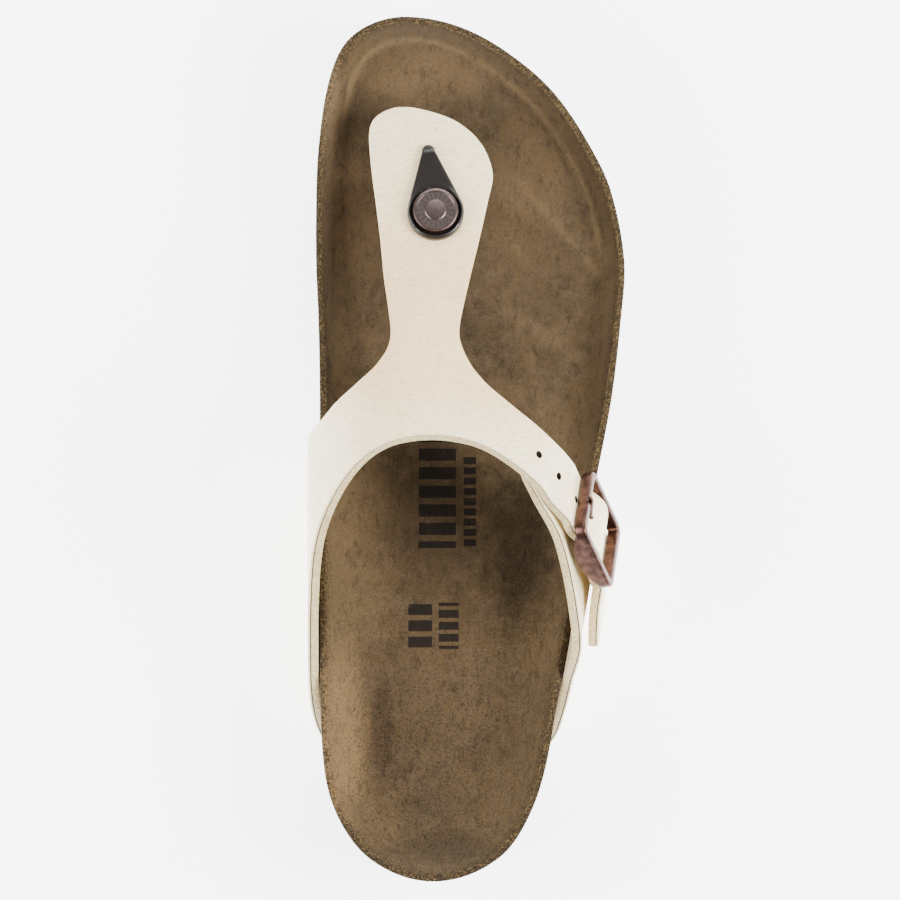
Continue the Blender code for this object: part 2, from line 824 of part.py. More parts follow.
def buckle_stations():
    """Lines across the T strap in the buckle and down its free end, which has round corners."""
    half = STRAP_TAIL_WIDTH / 2
    clear = END_BAR_DOWN + BUCKLE_BAR_WIDTH
    lines = [(half, *strap_outside(-clear))]
    for share in (-1.0, -0.75, -0.5, -0.25, 0.0, 0.25, 0.5, 0.75, 1.0):
        lines.append((half, *strap_outside(END_BAR_DOWN * share)))
    lines.append((half, *strap_outside(clear)))
    level = lines[-1][2]
    for share, width, out in TAIL:
        lines.append((half * width, clear + TAIL_LENGTH * share, level + out * STRAP_THICKNESS))
    return [
        [in_buckle(reach * (1 - 2 * j / STRAP_COLUMNS), down, out) for j in range(STRAP_COLUMNS + 1)]
        for reach, down, out in lines
    ]


def walk(line, start, distance):
    """Point at a distance along a line from one of its points, and the nearest point's number."""
    step = 1 if distance > 0 else -1
    left, i = abs(distance), start
    while left > (line[i + step] - line[i]).length:
        left -= (line[i + step] - line[i]).length
        i += step
    return line[i] + (line[i + step] - line[i]).normalized() * left, i


def strap_hole_tools(rows, bar_row):
    """Pins that punch the strap's other holes, up and down from the one that the prong is in."""
    line = [row[STRAP_COLUMNS // 2] for row in rows]
    tools = []
    for number in (-3, -2, -1, 1, 2):
        offset = number * STRAP_HOLE_SPACING - END_BAR_DOWN * PRONG_HOLE_SHARE
        point, i = walk(line, bar_row, offset)
        across = (rows[i][0] - rows[i][-1]).normalized()
        normal = across.cross(line[i + 1] - line[i - 1]).normalized()
        reach = normal * 2 * STRAP_THICKNESS
        radius = STRAP_HOLE_DIAMETER / 2
        path = [point - reach, point + reach]
        tools.append(tube_body("strap_hole_tool", path, [radius, radius], 12, across))
    return tools


def make_t_strap(holes):
    """T-shaped upper: inner side, instep, stem to the toes, and the tail in the buckle."""
    rows, thickness, numbers = strap_rows(T_STRAP, buckle_stations())
    columns = STRAP_COLUMNS + 1
    points = [p for row in rows for p in row]
    faces = grid_faces(len(rows), columns)
    flat = [t for t in thickness for _ in range(columns)]

    # The stem's first row is the front edge of the arms between the two corners of the T
    base = [row * columns for row in range(numbers[STEM_FROM], numbers[STEM_TO] + 1)]
    previous = base
    for along in stem_shares():
        medial = column(STEM, 1, along) * BALL_WIDTH
        lateral = column(STEM, 2, along) * BALL_WIDTH
        current = []
        for k in range(len(base)):
            x = medial + (lateral - medial) * k / (len(base) - 1)
            current.append(len(points))
            points.append(foot_point(along, place_of_x(x, along)))
            flat.append(STRAP_THICKNESS)
        for k in range(len(base) - 1):
            faces.append((previous[k], previous[k + 1], current[k + 1], current[k]))
        previous = current

    below = Vector((0, 0, -1))
    strap = thickened("upper_t_strap", points, faces, flat, below)
    bar_row = numbers[len(T_STRAP) + 5]
    for hole in holes + strap_hole_tools(rows, bar_row):
        combine(strap, hole, "DIFFERENCE")
    low = numbers[2] + 1
    return strap, strap_seat("t_strap_seat_tool", rows[:low], thickness[:low], below)


def stem_shares():
    """Shares of the length at which the stem has a row, closer together at its round end."""
    shares = []
    for low, high in zip(STEM, STEM[1:]):
        steps = max(1, round((high[0] - low[0]) * LENGTH / ROW_SPACING))
        shares += [low[0] + (high[0] - low[0]) * (k + 1) / steps for k in range(steps)]
    return shares


def make_side_strap():
    """Side strap from the sole on the outer side up to a tongue under the T strap."""
    higher = []
    for front_across, front_down, front_out, rear_across, rear_down, rear_out, dip in SIDE_STRAP_HIGH:
        row = []
        for j in range(STRAP_COLUMNS + 1):
            u = j / STRAP_COLUMNS
            across = front_across + (rear_across - front_across) * u
            down = front_down + (rear_down - front_down) * u
            out = front_out + (rear_out - front_out) * u - 4 * dip * u * (1 - u)
            row.append(
                in_buckle(across * BUCKLE_LENGTH, down * BUCKLE_HEIGHT, out * STRAP_THICKNESS)
            )
        higher.append(row)
    rows, thickness, numbers = strap_rows(SIDE_STRAP_LOW, higher)
    points = [p for row in rows for p in row]
    flat = [t for t in thickness for _ in range(STRAP_COLUMNS + 1)]
    below = Vector((0, 0, -1))
    faces = grid_faces(len(rows), STRAP_COLUMNS + 1)
    strap = thickened("side_strap", points, faces, flat, below)
    low = numbers[2] + 1
    return strap, strap_seat("side_strap_seat_tool", rows[:low], thickness[:low], below)


def frame_outline(inset):
    """Rounded rectangle in the buckle's plane, with points along its side bars."""
    half_length, half_height = BUCKLE_LENGTH / 2 - inset, BUCKLE_HEIGHT / 2 - inset
    radius = max(BUCKLE_CORNER - inset, BUCKLE_EDGE_ROUND)
    corner_steps, side_steps = 4, 8
    points = []
    for side, end, start in ((1, 1, 0), (-1, 1, 90), (-1, -1, 180), (1, -1, 270)):
        for k in range(corner_steps + 1):
            angle = math.radians(start + 90 * k / corner_steps)
            across = side * (half_length - radius) + radius * math.cos(angle)
            points.append((across, end * (half_height - radius) + radius * math.sin(angle)))
        if start in (90, 270):
            straight = half_height - radius
            for k in range(1, side_steps):
                points.append((side * half_length, end * straight * (1 - 2 * k / side_steps)))
    return points


def make_buckle_frame(prong_room):
    """Cast frame: round corners, side bars bowed in to the centre bar, notch for the prong."""
    bar_low = BAR_OUT - CENTRE_BAR_DIAMETER / 2 - BUCKLE_EDGE_ROUND

    def low_at(down):
        bow = max(0.0, 1 - (down / STRAP_HUMP) ** 2)
        return FRAME_LOW + (bar_low - FRAME_LOW) * bow

    edge, width = BUCKLE_EDGE_ROUND, BUCKLE_BAR_WIDTH
    section = (
        (0.0, False, edge),
        (0.0, True, edge),
        (edge, True, 0.0),
        (width - edge, True, 0.0),
        (width, True, edge),
        (width, False, edge),
        (width - edge, False, 0.0),
        (edge, False, 0.0),
    )
    points, faces = [], []
    for inset, high, chamfer in section:
        for across, down in frame_outline(inset):
            out = FRAME_HIGH - chamfer if high else low_at(down) + chamfer
            points.append(in_buckle(across, down, out))
    count = len(points) // len(section)
    for k in range(len(section)):
        faces += band(k * count, (k + 1) % len(section) * count, count)
    frame = new_object("buckle_frame", points, faces)
    reach = (BUCKLE_LENGTH - BUCKLE_BAR_WIDTH) / 2
    ends = [in_buckle(side * reach, 0, BAR_OUT) for side in (-1, 1)]
    radius = CENTRE_BAR_DIAMETER / 2
    combine(frame, tube_body("centre_bar_tool", ends, [radius, radius], 16, DOWN), "UNION")
    return combine(frame, prong_room, "DIFFERENCE")


def prong_rod(name, room):
    """Tapered rod of the prong, from its ring on the centre bar to its tip on the top bar."""
    ring = CENTRE_BAR_DIAMETER / 2 + GAP + LOOP_THICKNESS / 2
    root = PRONG_WIDTH / 2
    tip = PRONG_TIP / 2
    rest = FRAME_HIGH + GAP
    stations = (
        (-ring, BAR_OUT, 0.45 * root),
        (-ring - 0.5 * root, BAR_OUT + root, 0.8 * root),
        (-ring - 1.2 * root, BAR_OUT + 2.0 * root, root),
        (-END_BAR_DOWN, rest, tip),
        (-END_BAR_DOWN - 0.45 * BUCKLE_BAR_WIDTH, rest + 0.2 * tip, tip),
        (-END_BAR_DOWN - 0.65 * BUCKLE_BAR_WIDTH, rest + 0.2 * tip, 0.5 * tip),
    )
    path = [in_buckle(0, down, out) for down, out, _ in stations]
    return tube_body(name, path, [radius + room for _, _, radius in stations], 12, ACROSS)


def make_prong():
    """Prong with a ring that turns on the centre bar."""
    inner = CENTRE_BAR_DIAMETER / 2 + GAP
    outer = inner + LOOP_THICKNESS
    sides, half = 20, PRONG_WIDTH / 2
    points, faces = [], []
    for across, radius in ((-half, inner), (-half, outer), (half, outer), (half, inner)):
        for k in range(sides):
            angle = 2 * math.pi * k / sides
            down, out = radius * math.cos(angle), BAR_OUT + radius * math.sin(angle)
            points.append(in_buckle(across, down, out))
    for k in range(4):
        faces += band(k * sides, (k + 1) % 4 * sides, sides)
    prong = new_object("buckle_prong", points, faces)
    return combine(prong, prong_rod("prong_rod_tool", 0.0), "UNION")


def make_loop():
    """Leather loop round the centre bar with a slot in its middle for the prong."""
    inner = CENTRE_BAR_DIAMETER / 2 + GAP
    outer = inner + LOOP_THICKNESS
    low = BAR_OUT - outer
    upper = low + 2 * LOOP_THICKNESS + GAP
    slot = PRONG_WIDTH / 2 + GAP
    path = [(LOOP_REACH, low), (0.7 * LOOP_REACH, low), (outer + GAP, low)]
    for k in range(9):
        angle = math.radians(-90 - 180 * k / 8)
        path.append((outer * math.cos(angle), BAR_OUT + outer * math.sin(angle)))
    path.append((0.6 * outer, BAR_OUT + 0.7 * outer))
    path += [(outer + GAP, upper + GAP), (0.68 * LOOP_REACH, upper)]
    columns = (-LOOP_WIDTH / 2, -slot, slot, LOOP_WIDTH / 2)
    points = [in_buckle(across, down, out) for down, out in path for across in columns]
    faces = []
    for i in range(len(path) - 1):
        in_slot = max(path[i][0], path[i + 1][0]) <= outer + 2 * GAP
        for j in range(3):
            if j == 1 and in_slot:
                continue
            first = i * 4 + j
            faces.append((first, first + 1, first + 5, first + 4))
    thickness = [LOOP_THICKNESS] * len(points)
    return thickened("buckle_loop", points, faces, thickness, -OUT)


def post_plan():
    """Middle of the toe post, seen from above."""
    return Vector((POST_ACROSS * BALL_WIDTH, along_to_y(POST_ALONG)))


def tab_point(along_tab, beside):
    """Place on the strap's outside face under the tab, and the outward direction there."""
    line = Vector((math.sin(TAB_TURN), -math.cos(TAB_TURN)))
    plan = post_plan() + line * along_tab + Vector((line.y, -line.x)) * beside
    along = y_to_along(plan.y)
    place = place_of_x(plan.x, along)
    return foot_point(along, place), foot_normal(along, place)


def post_ends():
    """Bottom of the toe post in the cork, and its top inside the tab."""
    plan = post_plan()
    surface = tab_point(0, 0)[0]
    bed = bed_z(plan.x, plan.y) - LINING_THICKNESS - POST_DEPTH
    top = surface.z + GAP + TAB_THICKNESS * 0.6
    return Vector((plan.x, plan.y, bed)), Vector((plan.x, plan.y, top))


def make_post_hole():
    """Tool for the post's hole in the strap, the lining and the cork."""
    low, high = post_ends()
    radius = POST_DIAMETER / 2 + GAP
    path = [low - Vector((0, 0, GAP)), high + Vector((0, 0, STRAP_THICKNESS))]
    return tube_body("post_hole_tool", path, [radius, radius], 16, Vector((1, 0, 0)))


def make_rivet_hole():
    """Tool for the rivet's hole in the strap and the tab."""
    surface, normal = tab_point(TAB_REACH, 0)
    radius = RIVET_DIAMETER / 2 + GAP
    path = [surface - normal * 2 * STRAP_THICKNESS, surface + normal * 2 * STRAP_THICKNESS]
    return tube_body("rivet_hole_tool", path, [radius, radius], 16, Vector((1, 0, 0)))


def make_toe_post(rivet_hole):
    """Teardrop tab that lies on the strap and turns down through it into the footbed."""
    small, large = POST_DIAMETER / 2, TAB_DIAMETER / 2
    slope = math.asin((large - small) / TAB_REACH)
    rows = []
    for angle in (math.radians(75), math.radians(48), slope):
        rows.append((-small * math.sin(angle), small * math.cos(angle)))
    start, end = rows[-1], (TAB_REACH - large * math.sin(slope), large * math.cos(slope))
    for k in range(1, 4):
        rows.append(tuple(a + (b - a) * k / 4 for a, b in zip(start, end)))
    for k in range(8):
        angle = slope - (slope + math.radians(78)) * k / 7
        rows.append((TAB_REACH - large * math.sin(angle), large * math.cos(angle)))
    columns = 7
    points = []
    for along_tab, half in rows:
        for j in range(columns):
            place, normal = tab_point(along_tab, half * (2 * j / (columns - 1) - 1))
            points.append(place + normal * (GAP + TAB_THICKNESS))
    thickness = [TAB_THICKNESS] * len(points)
    up = Vector((0, 0, 1))
    tab = thickened("toe_post", points, grid_faces(len(rows), columns), thickness, up)
    radius = POST_DIAMETER / 2
    post = tube_body("post_tool", post_ends(), [0.85 * radius, radius], 16, Vector((1, 0, 0)))
    combine(tab, post, "UNION")
    return combine(tab, rivet_hole, "DIFFERENCE")


def make_rivet():
    """Round cap on the tab, shank through the strap, and a washer behind it."""
    surface, normal = tab_point(TAB_REACH, 0)
    back = -STRAP_THICKNESS - GAP
    seat = GAP + TAB_THICKNESS + GAP
    profile = (
        (back - WASHER_THICKNESS, WASHER_DIAMETER / 2),
        (back, WASHER_DIAMETER / 2),
        (back, RIVET_DIAMETER / 2),
        (seat, RIVET_DIAMETER / 2),
        (seat, CAP_DIAMETER / 2),
        (seat + CAP_HEIGHT - CAP_EDGE_ROUND, CAP_DIAMETER / 2),
        (seat + CAP_HEIGHT, CAP_DIAMETER / 2 - CAP_EDGE_ROUND),
    )
    sideways = normal.cross(Vector((0, 1, 0))).normalized()
    other = normal.cross(sideways)
    turns = [2 * math.pi * k / 28 for k in range(28)]
    levels = [
        [
            surface + normal * height + (sideways * math.cos(a) + other * math.sin(a)) * radius
            for a in turns
        ]
        for height, radius in profile
    ]
    return disc_body("post_rivet", levels)


def build():
    for obj in list(bpy.data.objects):
        bpy.data.objects.remove(obj)
    post_hole, rivet_hole = make_post_hole(), make_rivet_hole()
    prong_room = prong_rod("prong_room_tool", GAP)
    t_strap, t_seat = make_t_strap([post_hole, rivet_hole, prong_room])
    side_strap, side_seat = make_side_strap()
    cream, dark, bronze = (0.86, 0.82, 0.71), (0.04, 0.03, 0.03), (0.14, 0.08, 0.06)
    paint(weld(t_strap), cream, 0.5)
    paint(side_strap, cream, 0.5)
    paint(make_outsole(), (0.012, 0.012, 0.012), 0.8)
    paint(make_midsole([t_seat, side_seat], post_hole), (0.42, 0.26, 0.13), 0.8)
    paint(make_lining(post_hole), (0.19, 0.12, 0.07), 0.9)
    paint(weld(make_buckle_frame(prong_room)), bronze, 0.35, 1.0)
    paint(make_prong(), bronze, 0.35, 1.0)
    paint(make_loop(), cream, 0.5)
    paint(make_toe_post(rivet_hole), dark, 0.4)
    paint(make_rivet(), bronze, 0.35, 1.0)


build()
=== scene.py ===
"""Looks of a toe post sandal for the right foot.

Metres, +Z up. +Y runs from heel to toe and +X to the outer side of the foot.
"""

import math
from collections import Counter

import bmesh
import bpy
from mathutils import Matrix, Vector, noise


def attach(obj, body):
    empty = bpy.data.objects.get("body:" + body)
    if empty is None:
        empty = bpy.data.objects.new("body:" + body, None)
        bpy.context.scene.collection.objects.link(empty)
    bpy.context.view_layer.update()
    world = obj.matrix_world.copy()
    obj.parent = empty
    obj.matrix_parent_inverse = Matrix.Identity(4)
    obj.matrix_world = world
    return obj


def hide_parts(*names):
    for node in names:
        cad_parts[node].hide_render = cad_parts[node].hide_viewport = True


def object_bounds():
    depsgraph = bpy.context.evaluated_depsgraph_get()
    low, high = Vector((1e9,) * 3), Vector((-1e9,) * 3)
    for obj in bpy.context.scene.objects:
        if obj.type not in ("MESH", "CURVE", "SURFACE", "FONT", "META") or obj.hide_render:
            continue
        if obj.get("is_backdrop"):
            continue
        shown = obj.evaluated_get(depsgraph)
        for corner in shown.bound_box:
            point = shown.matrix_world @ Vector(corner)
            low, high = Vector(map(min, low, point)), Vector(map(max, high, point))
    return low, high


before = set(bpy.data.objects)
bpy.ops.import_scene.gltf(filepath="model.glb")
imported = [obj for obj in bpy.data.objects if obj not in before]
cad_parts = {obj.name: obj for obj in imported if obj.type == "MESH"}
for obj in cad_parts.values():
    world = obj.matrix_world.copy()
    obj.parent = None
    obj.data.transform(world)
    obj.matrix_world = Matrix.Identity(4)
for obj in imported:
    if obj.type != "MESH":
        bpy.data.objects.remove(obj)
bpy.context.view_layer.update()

# Outsole
# One piece of black EVA foam, moulded with its zigzag tread. It is glued under the cork and
# ground flush with it all round.

MM = 0.001
LENGTH = 260 * MM
BALL_WIDTH = 93 * MM
HEEL_RIM = 38 * MM
HEEL_CENTRE = 30 * MM
OUTSOLE_THICKNESS = 6.5 * MM
HEEL_BEVEL = 1.8 * MM
ARCH_RISE = 1.5 * MM
TOE_SPRING = 9 * MM
SOLE_FLARE = 0.4 * MM
GROOVE_WIDTH = 2.2 * MM
GROOVE_DEPTH = 2.2 * MM
GROOVE_ZIGZAG = 3 * MM
GAP = 0.3 * MM
# Points up each side of the sole
SIDE_STEPS = 140

# Outline of the footbed's rim, seen from above.
# along: share of LENGTH from the heel. medial, lateral: shares of BALL_WIDTH from the axis.
OUTLINE = [
    # along, medial, lateral
    (0.000, 0.000, 0.000),
    (0.014, 0.152, 0.155),
    (0.037, 0.239, 0.242),
    (0.083, 0.319, 0.319),
    (0.129, 0.352, 0.361),
    (0.210, 0.365, 0.403),
    (0.325, 0.368, 0.461),
    (0.441, 0.369, 0.515),
    (0.556, 0.368, 0.577),
    (0.648, 0.373, 0.608),
    (0.717, 0.381, 0.620),
    (0.798, 0.380, 0.577),
    (0.844, 0.374, 0.519),
    (0.914, 0.347, 0.387),
    (0.960, 0.303, 0.236),
    (0.983, 0.245, 0.123),
    (1.000, 0.093, -0.093),
]

# Form of the footbed. Heights are shares of HEEL_RIM above the sole's underside.
# wall: how far in the rim's slope reaches. tuck: how far the side draws in below the rim.
# Both are shares of BALL_WIDTH.
FOOTBED = [
    # along, medial rim, lateral rim, bed, medial wall, lateral wall, medial tuck, lateral tuck
    (0.00, 0.97, 0.97, 0.58, 0.21, 0.21, 0.020, 0.020),
    (0.08, 1.01, 1.00, 0.58, 0.21, 0.21, 0.026, 0.024),
    (0.20, 1.05, 0.99, 0.58, 0.24, 0.20, 0.050, 0.038),
    (0.30, 1.09, 0.95, 0.61, 0.29, 0.18, 0.068, 0.048),
    (0.42, 1.01, 0.85, 0.62, 0.27, 0.13, 0.060, 0.044),
    (0.55, 0.87, 0.79, 0.58, 0.14, 0.10, 0.030, 0.028),
    (0.65, 0.78, 0.75, 0.53, 0.08, 0.08, 0.016, 0.018),
    (0.72, 0.74, 0.74, 0.51, 0.08, 0.08, 0.014, 0.016),
    (0.80, 0.74, 0.74, 0.52, 0.08, 0.08, 0.016, 0.018),
    (0.90, 0.71, 0.71, 0.49, 0.09, 0.09, 0.022, 0.022),
    (1.00, 0.66, 0.66, 0.44, 0.09, 0.09, 0.026, 0.026),
]

# Side of the outsole from its top to its tread.
# in: how far it is drawn in, in shares of SOLE_FLARE. height: share of OUTSOLE_THICKNESS.
OUTSOLE_SIDE = [
    # in, height
    (0.0, 1.00),
    (-0.7, 0.88),
    (-1.0, 0.62),
    (-1.0, 0.38),
    (-0.8, 0.18),
    (-0.2, 0.07),
    (0.7, 0.02),
    (2.0, 0.00),
]
GROOVES = (0.055, 0.165, 0.225, 0.575, 0.635, 0.695, 0.755, 0.815, 0.875)


def through(knots, values, at):
    """Value of a smooth curve through (knot, value) pairs, level beyond its ends."""
    if at <= knots[0]:
        return values[0]
    if at >= knots[-1]:
        return values[-1]
    i = max(k for k in range(len(knots) - 1) if knots[k] <= at)

    def slope(k):
        a, b = max(k - 1, 0), min(k + 1, len(knots) - 1)
        return (values[b] - values[a]) / (knots[b] - knots[a])

    span = knots[i + 1] - knots[i]
    u = (at - knots[i]) / span
    return (
        (2 * u**3 - 3 * u**2 + 1) * values[i]
        + (u**3 - 2 * u**2 + u) * span * slope(i)
        + (3 * u**2 - 2 * u**3) * values[i + 1]
        + (u**3 - u**2) * span * slope(i + 1)
    )


def column(table, index, at, key=lambda share: share):
    """One column of a table, read smoothly at a share of the length."""
    knots = [key(row[0]) for row in table]
    return through(knots, [row[index] for row in table], key(at))


def turn(share):
    """Even steps of this put points closely at the round heel and toe."""
    return math.acos(1 - 2 * min(1.0, max(0.0, share))) / math.pi


def unturn(step):
    return (1 - math.cos(math.pi * step)) / 2


def along_to_y(share):
    return share * LENGTH - HEEL_CENTRE


def y_to_along(y):
    return (y + HEEL_CENTRE) / LENGTH


MEDIAL, LATERAL = -1, 1


def pick(side, medial, lateral):
    return medial if side == MEDIAL else lateral


def rim_x(side, along):
    """Distance of the rim from the axis on one side."""
    return column(OUTLINE, pick(side, 1, 2), along, turn) * BALL_WIDTH


def lift(along):
    """Height of the sole's underside: bevelled heel, shallow arch, toe spring."""
    heel_flat, arch_rear, arch_front, toe_flat = 0.06, 0.29, 0.56, 0.72
    if along < heel_flat:
        return HEEL_BEVEL * (1 - along / heel_flat) ** 2
    if arch_rear < along < arch_front:
        share = (along - arch_rear) / (arch_front - arch_rear)
        return ARCH_RISE * math.sin(math.pi * share) ** 2
    if along > toe_flat:
        return TOE_SPRING * ((along - toe_flat) / (1 - toe_flat)) ** 2
    return 0.0


def tuck(side, along):
    return column(FOOTBED, pick(side, 6, 7), along) * BALL_WIDTH


def around():
    """Round the outline from the heel, up the outer side and back down the inner side."""
    up = [(LATERAL, k / SIDE_STEPS) for k in range(SIDE_STEPS + 1)]
    down = [(MEDIAL, k / SIDE_STEPS) for k in range(SIDE_STEPS - 1, 0, -1)]
    return up + down


def spine_point(along):
    """Where the inward lines of the footbed end: on a line from heel to toe."""
    spine_heel, spine_toe = 0.125, 0.86
    share = spine_heel + along * (spine_toe - spine_heel)
    middle = (rim_x(LATERAL, share) - rim_x(MEDIAL, share)) / 2
    return Vector((middle, along_to_y(share)))


def edge_point(side, step, inset=0.0):
    """Point of the outline in plan, drawn in by inset towards the spine."""
    along = unturn(step)
    outer = Vector((side * rim_x(side, along), along_to_y(along)))
    inward = spine_point(along) - outer
    return outer + inward.normalized() * inset


def placed(name, mesh, shape, sharp_from):
    """Fills a mesh from a bmesh and puts it in the scene. Edges are sharp from some degrees."""
    shape.to_mesh(mesh)
    shape.free()
    obj = bpy.data.objects.new(name, mesh)
    bpy.context.scene.collection.objects.link(obj)
    mesh.shade_smooth()
    mesh.set_sharp_from_angle(angle=math.radians(sharp_from))
    return obj


def new_object(name, points, faces):
    """Closed mesh object with its faces pointing out."""
    mesh = bpy.data.meshes.new(name)
    mesh.from_pydata([tuple(p) for p in points], [], faces)
    shape = bmesh.new()
    shape.from_mesh(mesh)
    bmesh.ops.recalc_face_normals(shape, faces=shape.faces)
    if shape.calc_volume(signed=True) < 0:
        bmesh.ops.reverse_faces(shape, faces=shape.faces)
    bmesh.ops.triangulate(shape, faces=shape.faces)
    return placed(name, mesh, shape, 40)


def band(first, second, count):
    """Quads between two rings of points that start at these numbers."""
    return [
        (first + k, first + (k + 1) % count, second + (k + 1) % count, second + k)
        for k in range(count)
    ]


def strips(first, count):
    """Faces that close a ring by joining its outer side to its inner side."""
    half = count // 2
    faces = [(first, first + 1, first + count - 1)]
    for k in range(1, half - 1):
        faces.append((first + k, first + k + 1, first + count - k - 1, first + count - k))
    faces.append((first + half - 1, first + half, first + half + 1))
    return faces


def ring_body(name, levels):
    """Closed body through a stack of rings, closed by strips at both ends."""
    count = len(levels[0])
    points = [p for ring in levels for p in ring]
    faces = strips(0, count) + strips((len(levels) - 1) * count, count)
    for i in range(len(levels) - 1):
        faces += band(i * count, (i + 1) * count, count)
    return new_object(name, points, faces)


def combine(obj, tool, operation):
    """Boolean of obj with a hidden tool object."""
    tool.hide_render = True
    tool.display_type = "WIRE"
    step = obj.modifiers.new(operation.title(), "BOOLEAN")
    step.operation = operation
    step.solver = "EXACT"
    step.object = tool
    return obj


def settle(piece, *tools):
    """Makes a piece's modifiers part of its mesh and removes the tools that shaped it."""
    graph = bpy.context.evaluated_depsgraph_get()
    mesh = bpy.data.meshes.new_from_object(piece.evaluated_get(graph))
    piece.modifiers.clear()
    piece.data = mesh
    mesh.set_sharp_from_angle(angle=math.radians(40))
    for tool in tools:
        bpy.data.objects.remove(tool)
    return piece


def linear(code):
    """Linear colour of an sRGB hex value."""
    parts = [int(code[k : k + 2], 16) / 255 for k in (1, 3, 5)]
    return [p / 12.92 if p <= 0.04045 else ((p + 0.055) / 1.055) ** 2.4 for p in parts] + [1]


def add(tree, kind, inputs, **settings):
    """Adds a node. An input takes a value, or the (node, output) that it is linked from."""
    made = tree.nodes.new("ShaderNode" + kind)
    for name, value in settings.items():
        setattr(made, name, value)
    for name, value in inputs.items():
        if isinstance(value, tuple) and isinstance(value[0], bpy.types.Node):
            tree.links.new(value[0].outputs[value[1]], made.inputs[name])
        else:
            made.inputs[name].default_value = value
    return made


def new_finish(name, **values):
    """New material with its node tree, its shader and the place on the object in metres."""
    material = bpy.data.materials.new(name)
    material.use_nodes = True
    tree = material.node_tree
    shader = tree.nodes["Principled BSDF"]
    for socket, value in values.items():
        shader.inputs[socket.replace("_", " ")].default_value = value
    where = add(tree, "TexCoord", {})
    return material, tree, shader, (where, "Object")


def wear(piece, node, *materials):
    """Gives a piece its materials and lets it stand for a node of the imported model."""
    for material in materials:
        piece.data.materials.append(material)
    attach(piece, "root")
    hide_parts(node)
    return piece


def groove_tool():
    """Zigzag bars, one for each groove, that cut the tread."""
    points, faces = [], []
    half, bends = 0.72 * BALL_WIDTH, 9
    for share in GROOVES:
        first = len(points)
        floor = lift(share) + GROOVE_DEPTH
        for k in range(bends):
            x = -half + 2 * half * k / (bends - 1)
            y = along_to_y(share) + (GROOVE_ZIGZAG if k % 2 else -GROOVE_ZIGZAG)
            for side, z in ((-1, floor), (1, floor), (1, -TOE_SPRING), (-1, -TOE_SPRING)):
                points.append((x, y + side * GROOVE_WIDTH / 2, z))
        for k in range(bends - 1):
            faces += band(first + 4 * k, first + 4 * k + 4, 4)
        faces.append(tuple(range(first, first + 4)))
        faces.append(tuple(range(first + 4 * bends - 4, first + 4 * bends)))
    return new_object("groove_tool", points, faces)


levels = []
for drawn_in, height in OUTSOLE_SIDE:
    ring = []
    for side, step in around():
        inset = tuck(side, unturn(step)) + drawn_in * SOLE_FLARE
        place = edge_point(side, step, inset)
        z = lift(y_to_along(place.y)) + OUTSOLE_THICKNESS * height
        ring.append(Vector((place.x, place.y, z)))
    levels.append(ring)
sole = ring_body("foam_outsole", levels)
grooves = groove_tool()
settle(combine(sole, grooves, "DIFFERENCE"), grooves)

# Moulded EVA foam: black, dull, with a skin of closed cells about half a millimetre wide
foam, tree, shader, place = new_finish("moulded_eva_foam", Roughness=0.72)
shader.inputs["Specular IOR Level"].default_value = 0.2
cells = add(tree, "TexNoise", {"Vector": place, "Scale": 1 / (0.5 * MM), "Detail": 3.0})
patches = add(tree, "TexNoise", {"Vector": place, "Scale": 1 / (18 * MM), "Detail": 4.0})
tone = add(
    tree, "Mix", {0: (patches, "Fac"), 6: linear("#070606"), 7: linear("#100e0c")}, data_type="RGBA"
)
tree.links.new(tone.outputs[2], shader.inputs["Base Color"])
skin = add(tree, "Bump", {"Strength": 0.35, "Distance": 0.15 * MM, "Height": (cells, "Fac")})
tree.links.new(skin.outputs["Normal"], shader.inputs["Normal"])
wear(sole, "outsole", foam)

# Cork core
# Ground cork bonded with latex, pressed to the foot's shape, then sealed. The suede covers
# its top, and its sides stay bare.

LINING_THICKNESS = 1.5 * MM
RIM_LAND = 2.2 * MM
RIM_ROUND = 0.7 * MM
METATARSAL_PAD = 2.2 * MM
TOE_RIDGE = 1.8 * MM
SEAT_OPENING = 1 * MM
# Shares of the way in from the rim at which the footbed has a ring of points, closest
# together at the rim
RING_STEPS, LAST_RING, CLOSER = 44, 0.9, 1.45
RINGS = [LAST_RING * (k / RING_STEPS) ** CLOSER for k in range(RING_STEPS + 1)]
CORK_LEVELS = 9


def joint_z(along):
    """Top of the outsole."""
    return lift(along) + OUTSOLE_THICKNESS


def rim_z(side, along):
    return lift(along) + column(FOOTBED, pick(side, 1, 2), along) * HEEL_RIM


def cork_rim_z(side, along):
    return rim_z(side, along) - RIM_ROUND - LINING_THICKNESS - GAP


def wall_reach(side, along):
    return column(FOOTBED, pick(side, 4, 5), along) * BALL_WIDTH


def hump(distance, reach):
    return math.exp(-((distance / reach) ** 2))


def bed_z(x, y):
    """Foot side of the footbed away from the rim, with the pad and the ridge under the toes."""
    along = y_to_along(y)
    share = x / BALL_WIDTH
    pad = METATARSAL_PAD * hump(along - 0.60, 0.065) * hump(share - 0.10, 0.19)
    ridge_line = 0.815 - 0.10 * (share + 0.2) ** 2 - 0.06 * max(0.0, share)
    ridge = TOE_RIDGE * hump(along - ridge_line, 0.024)
    return lift(along) + column(FOOTBED, 3, along) * HEEL_RIM + pad + ridge


def footbed_point(side, step, share):
    """Point on the foot side of the footbed, share of the way from rim to spine."""
    along = unturn(step)
    outer = edge_point(side, step)
    place = outer.lerp(spine_point(along), share)
    inset = (place - outer).length
    top, bed = rim_z(side, along), bed_z(place.x, place.y)
    reach = wall_reach(side, along)
    rise = (1 - min(1.0, max(0.0, inset - RIM_LAND) / reach)) ** 2
    rounded = RIM_ROUND * (1 - min(1.0, inset / RIM_LAND)) ** 2
    return Vector((place.x, place.y, bed + (top - bed) * rise - rounded))


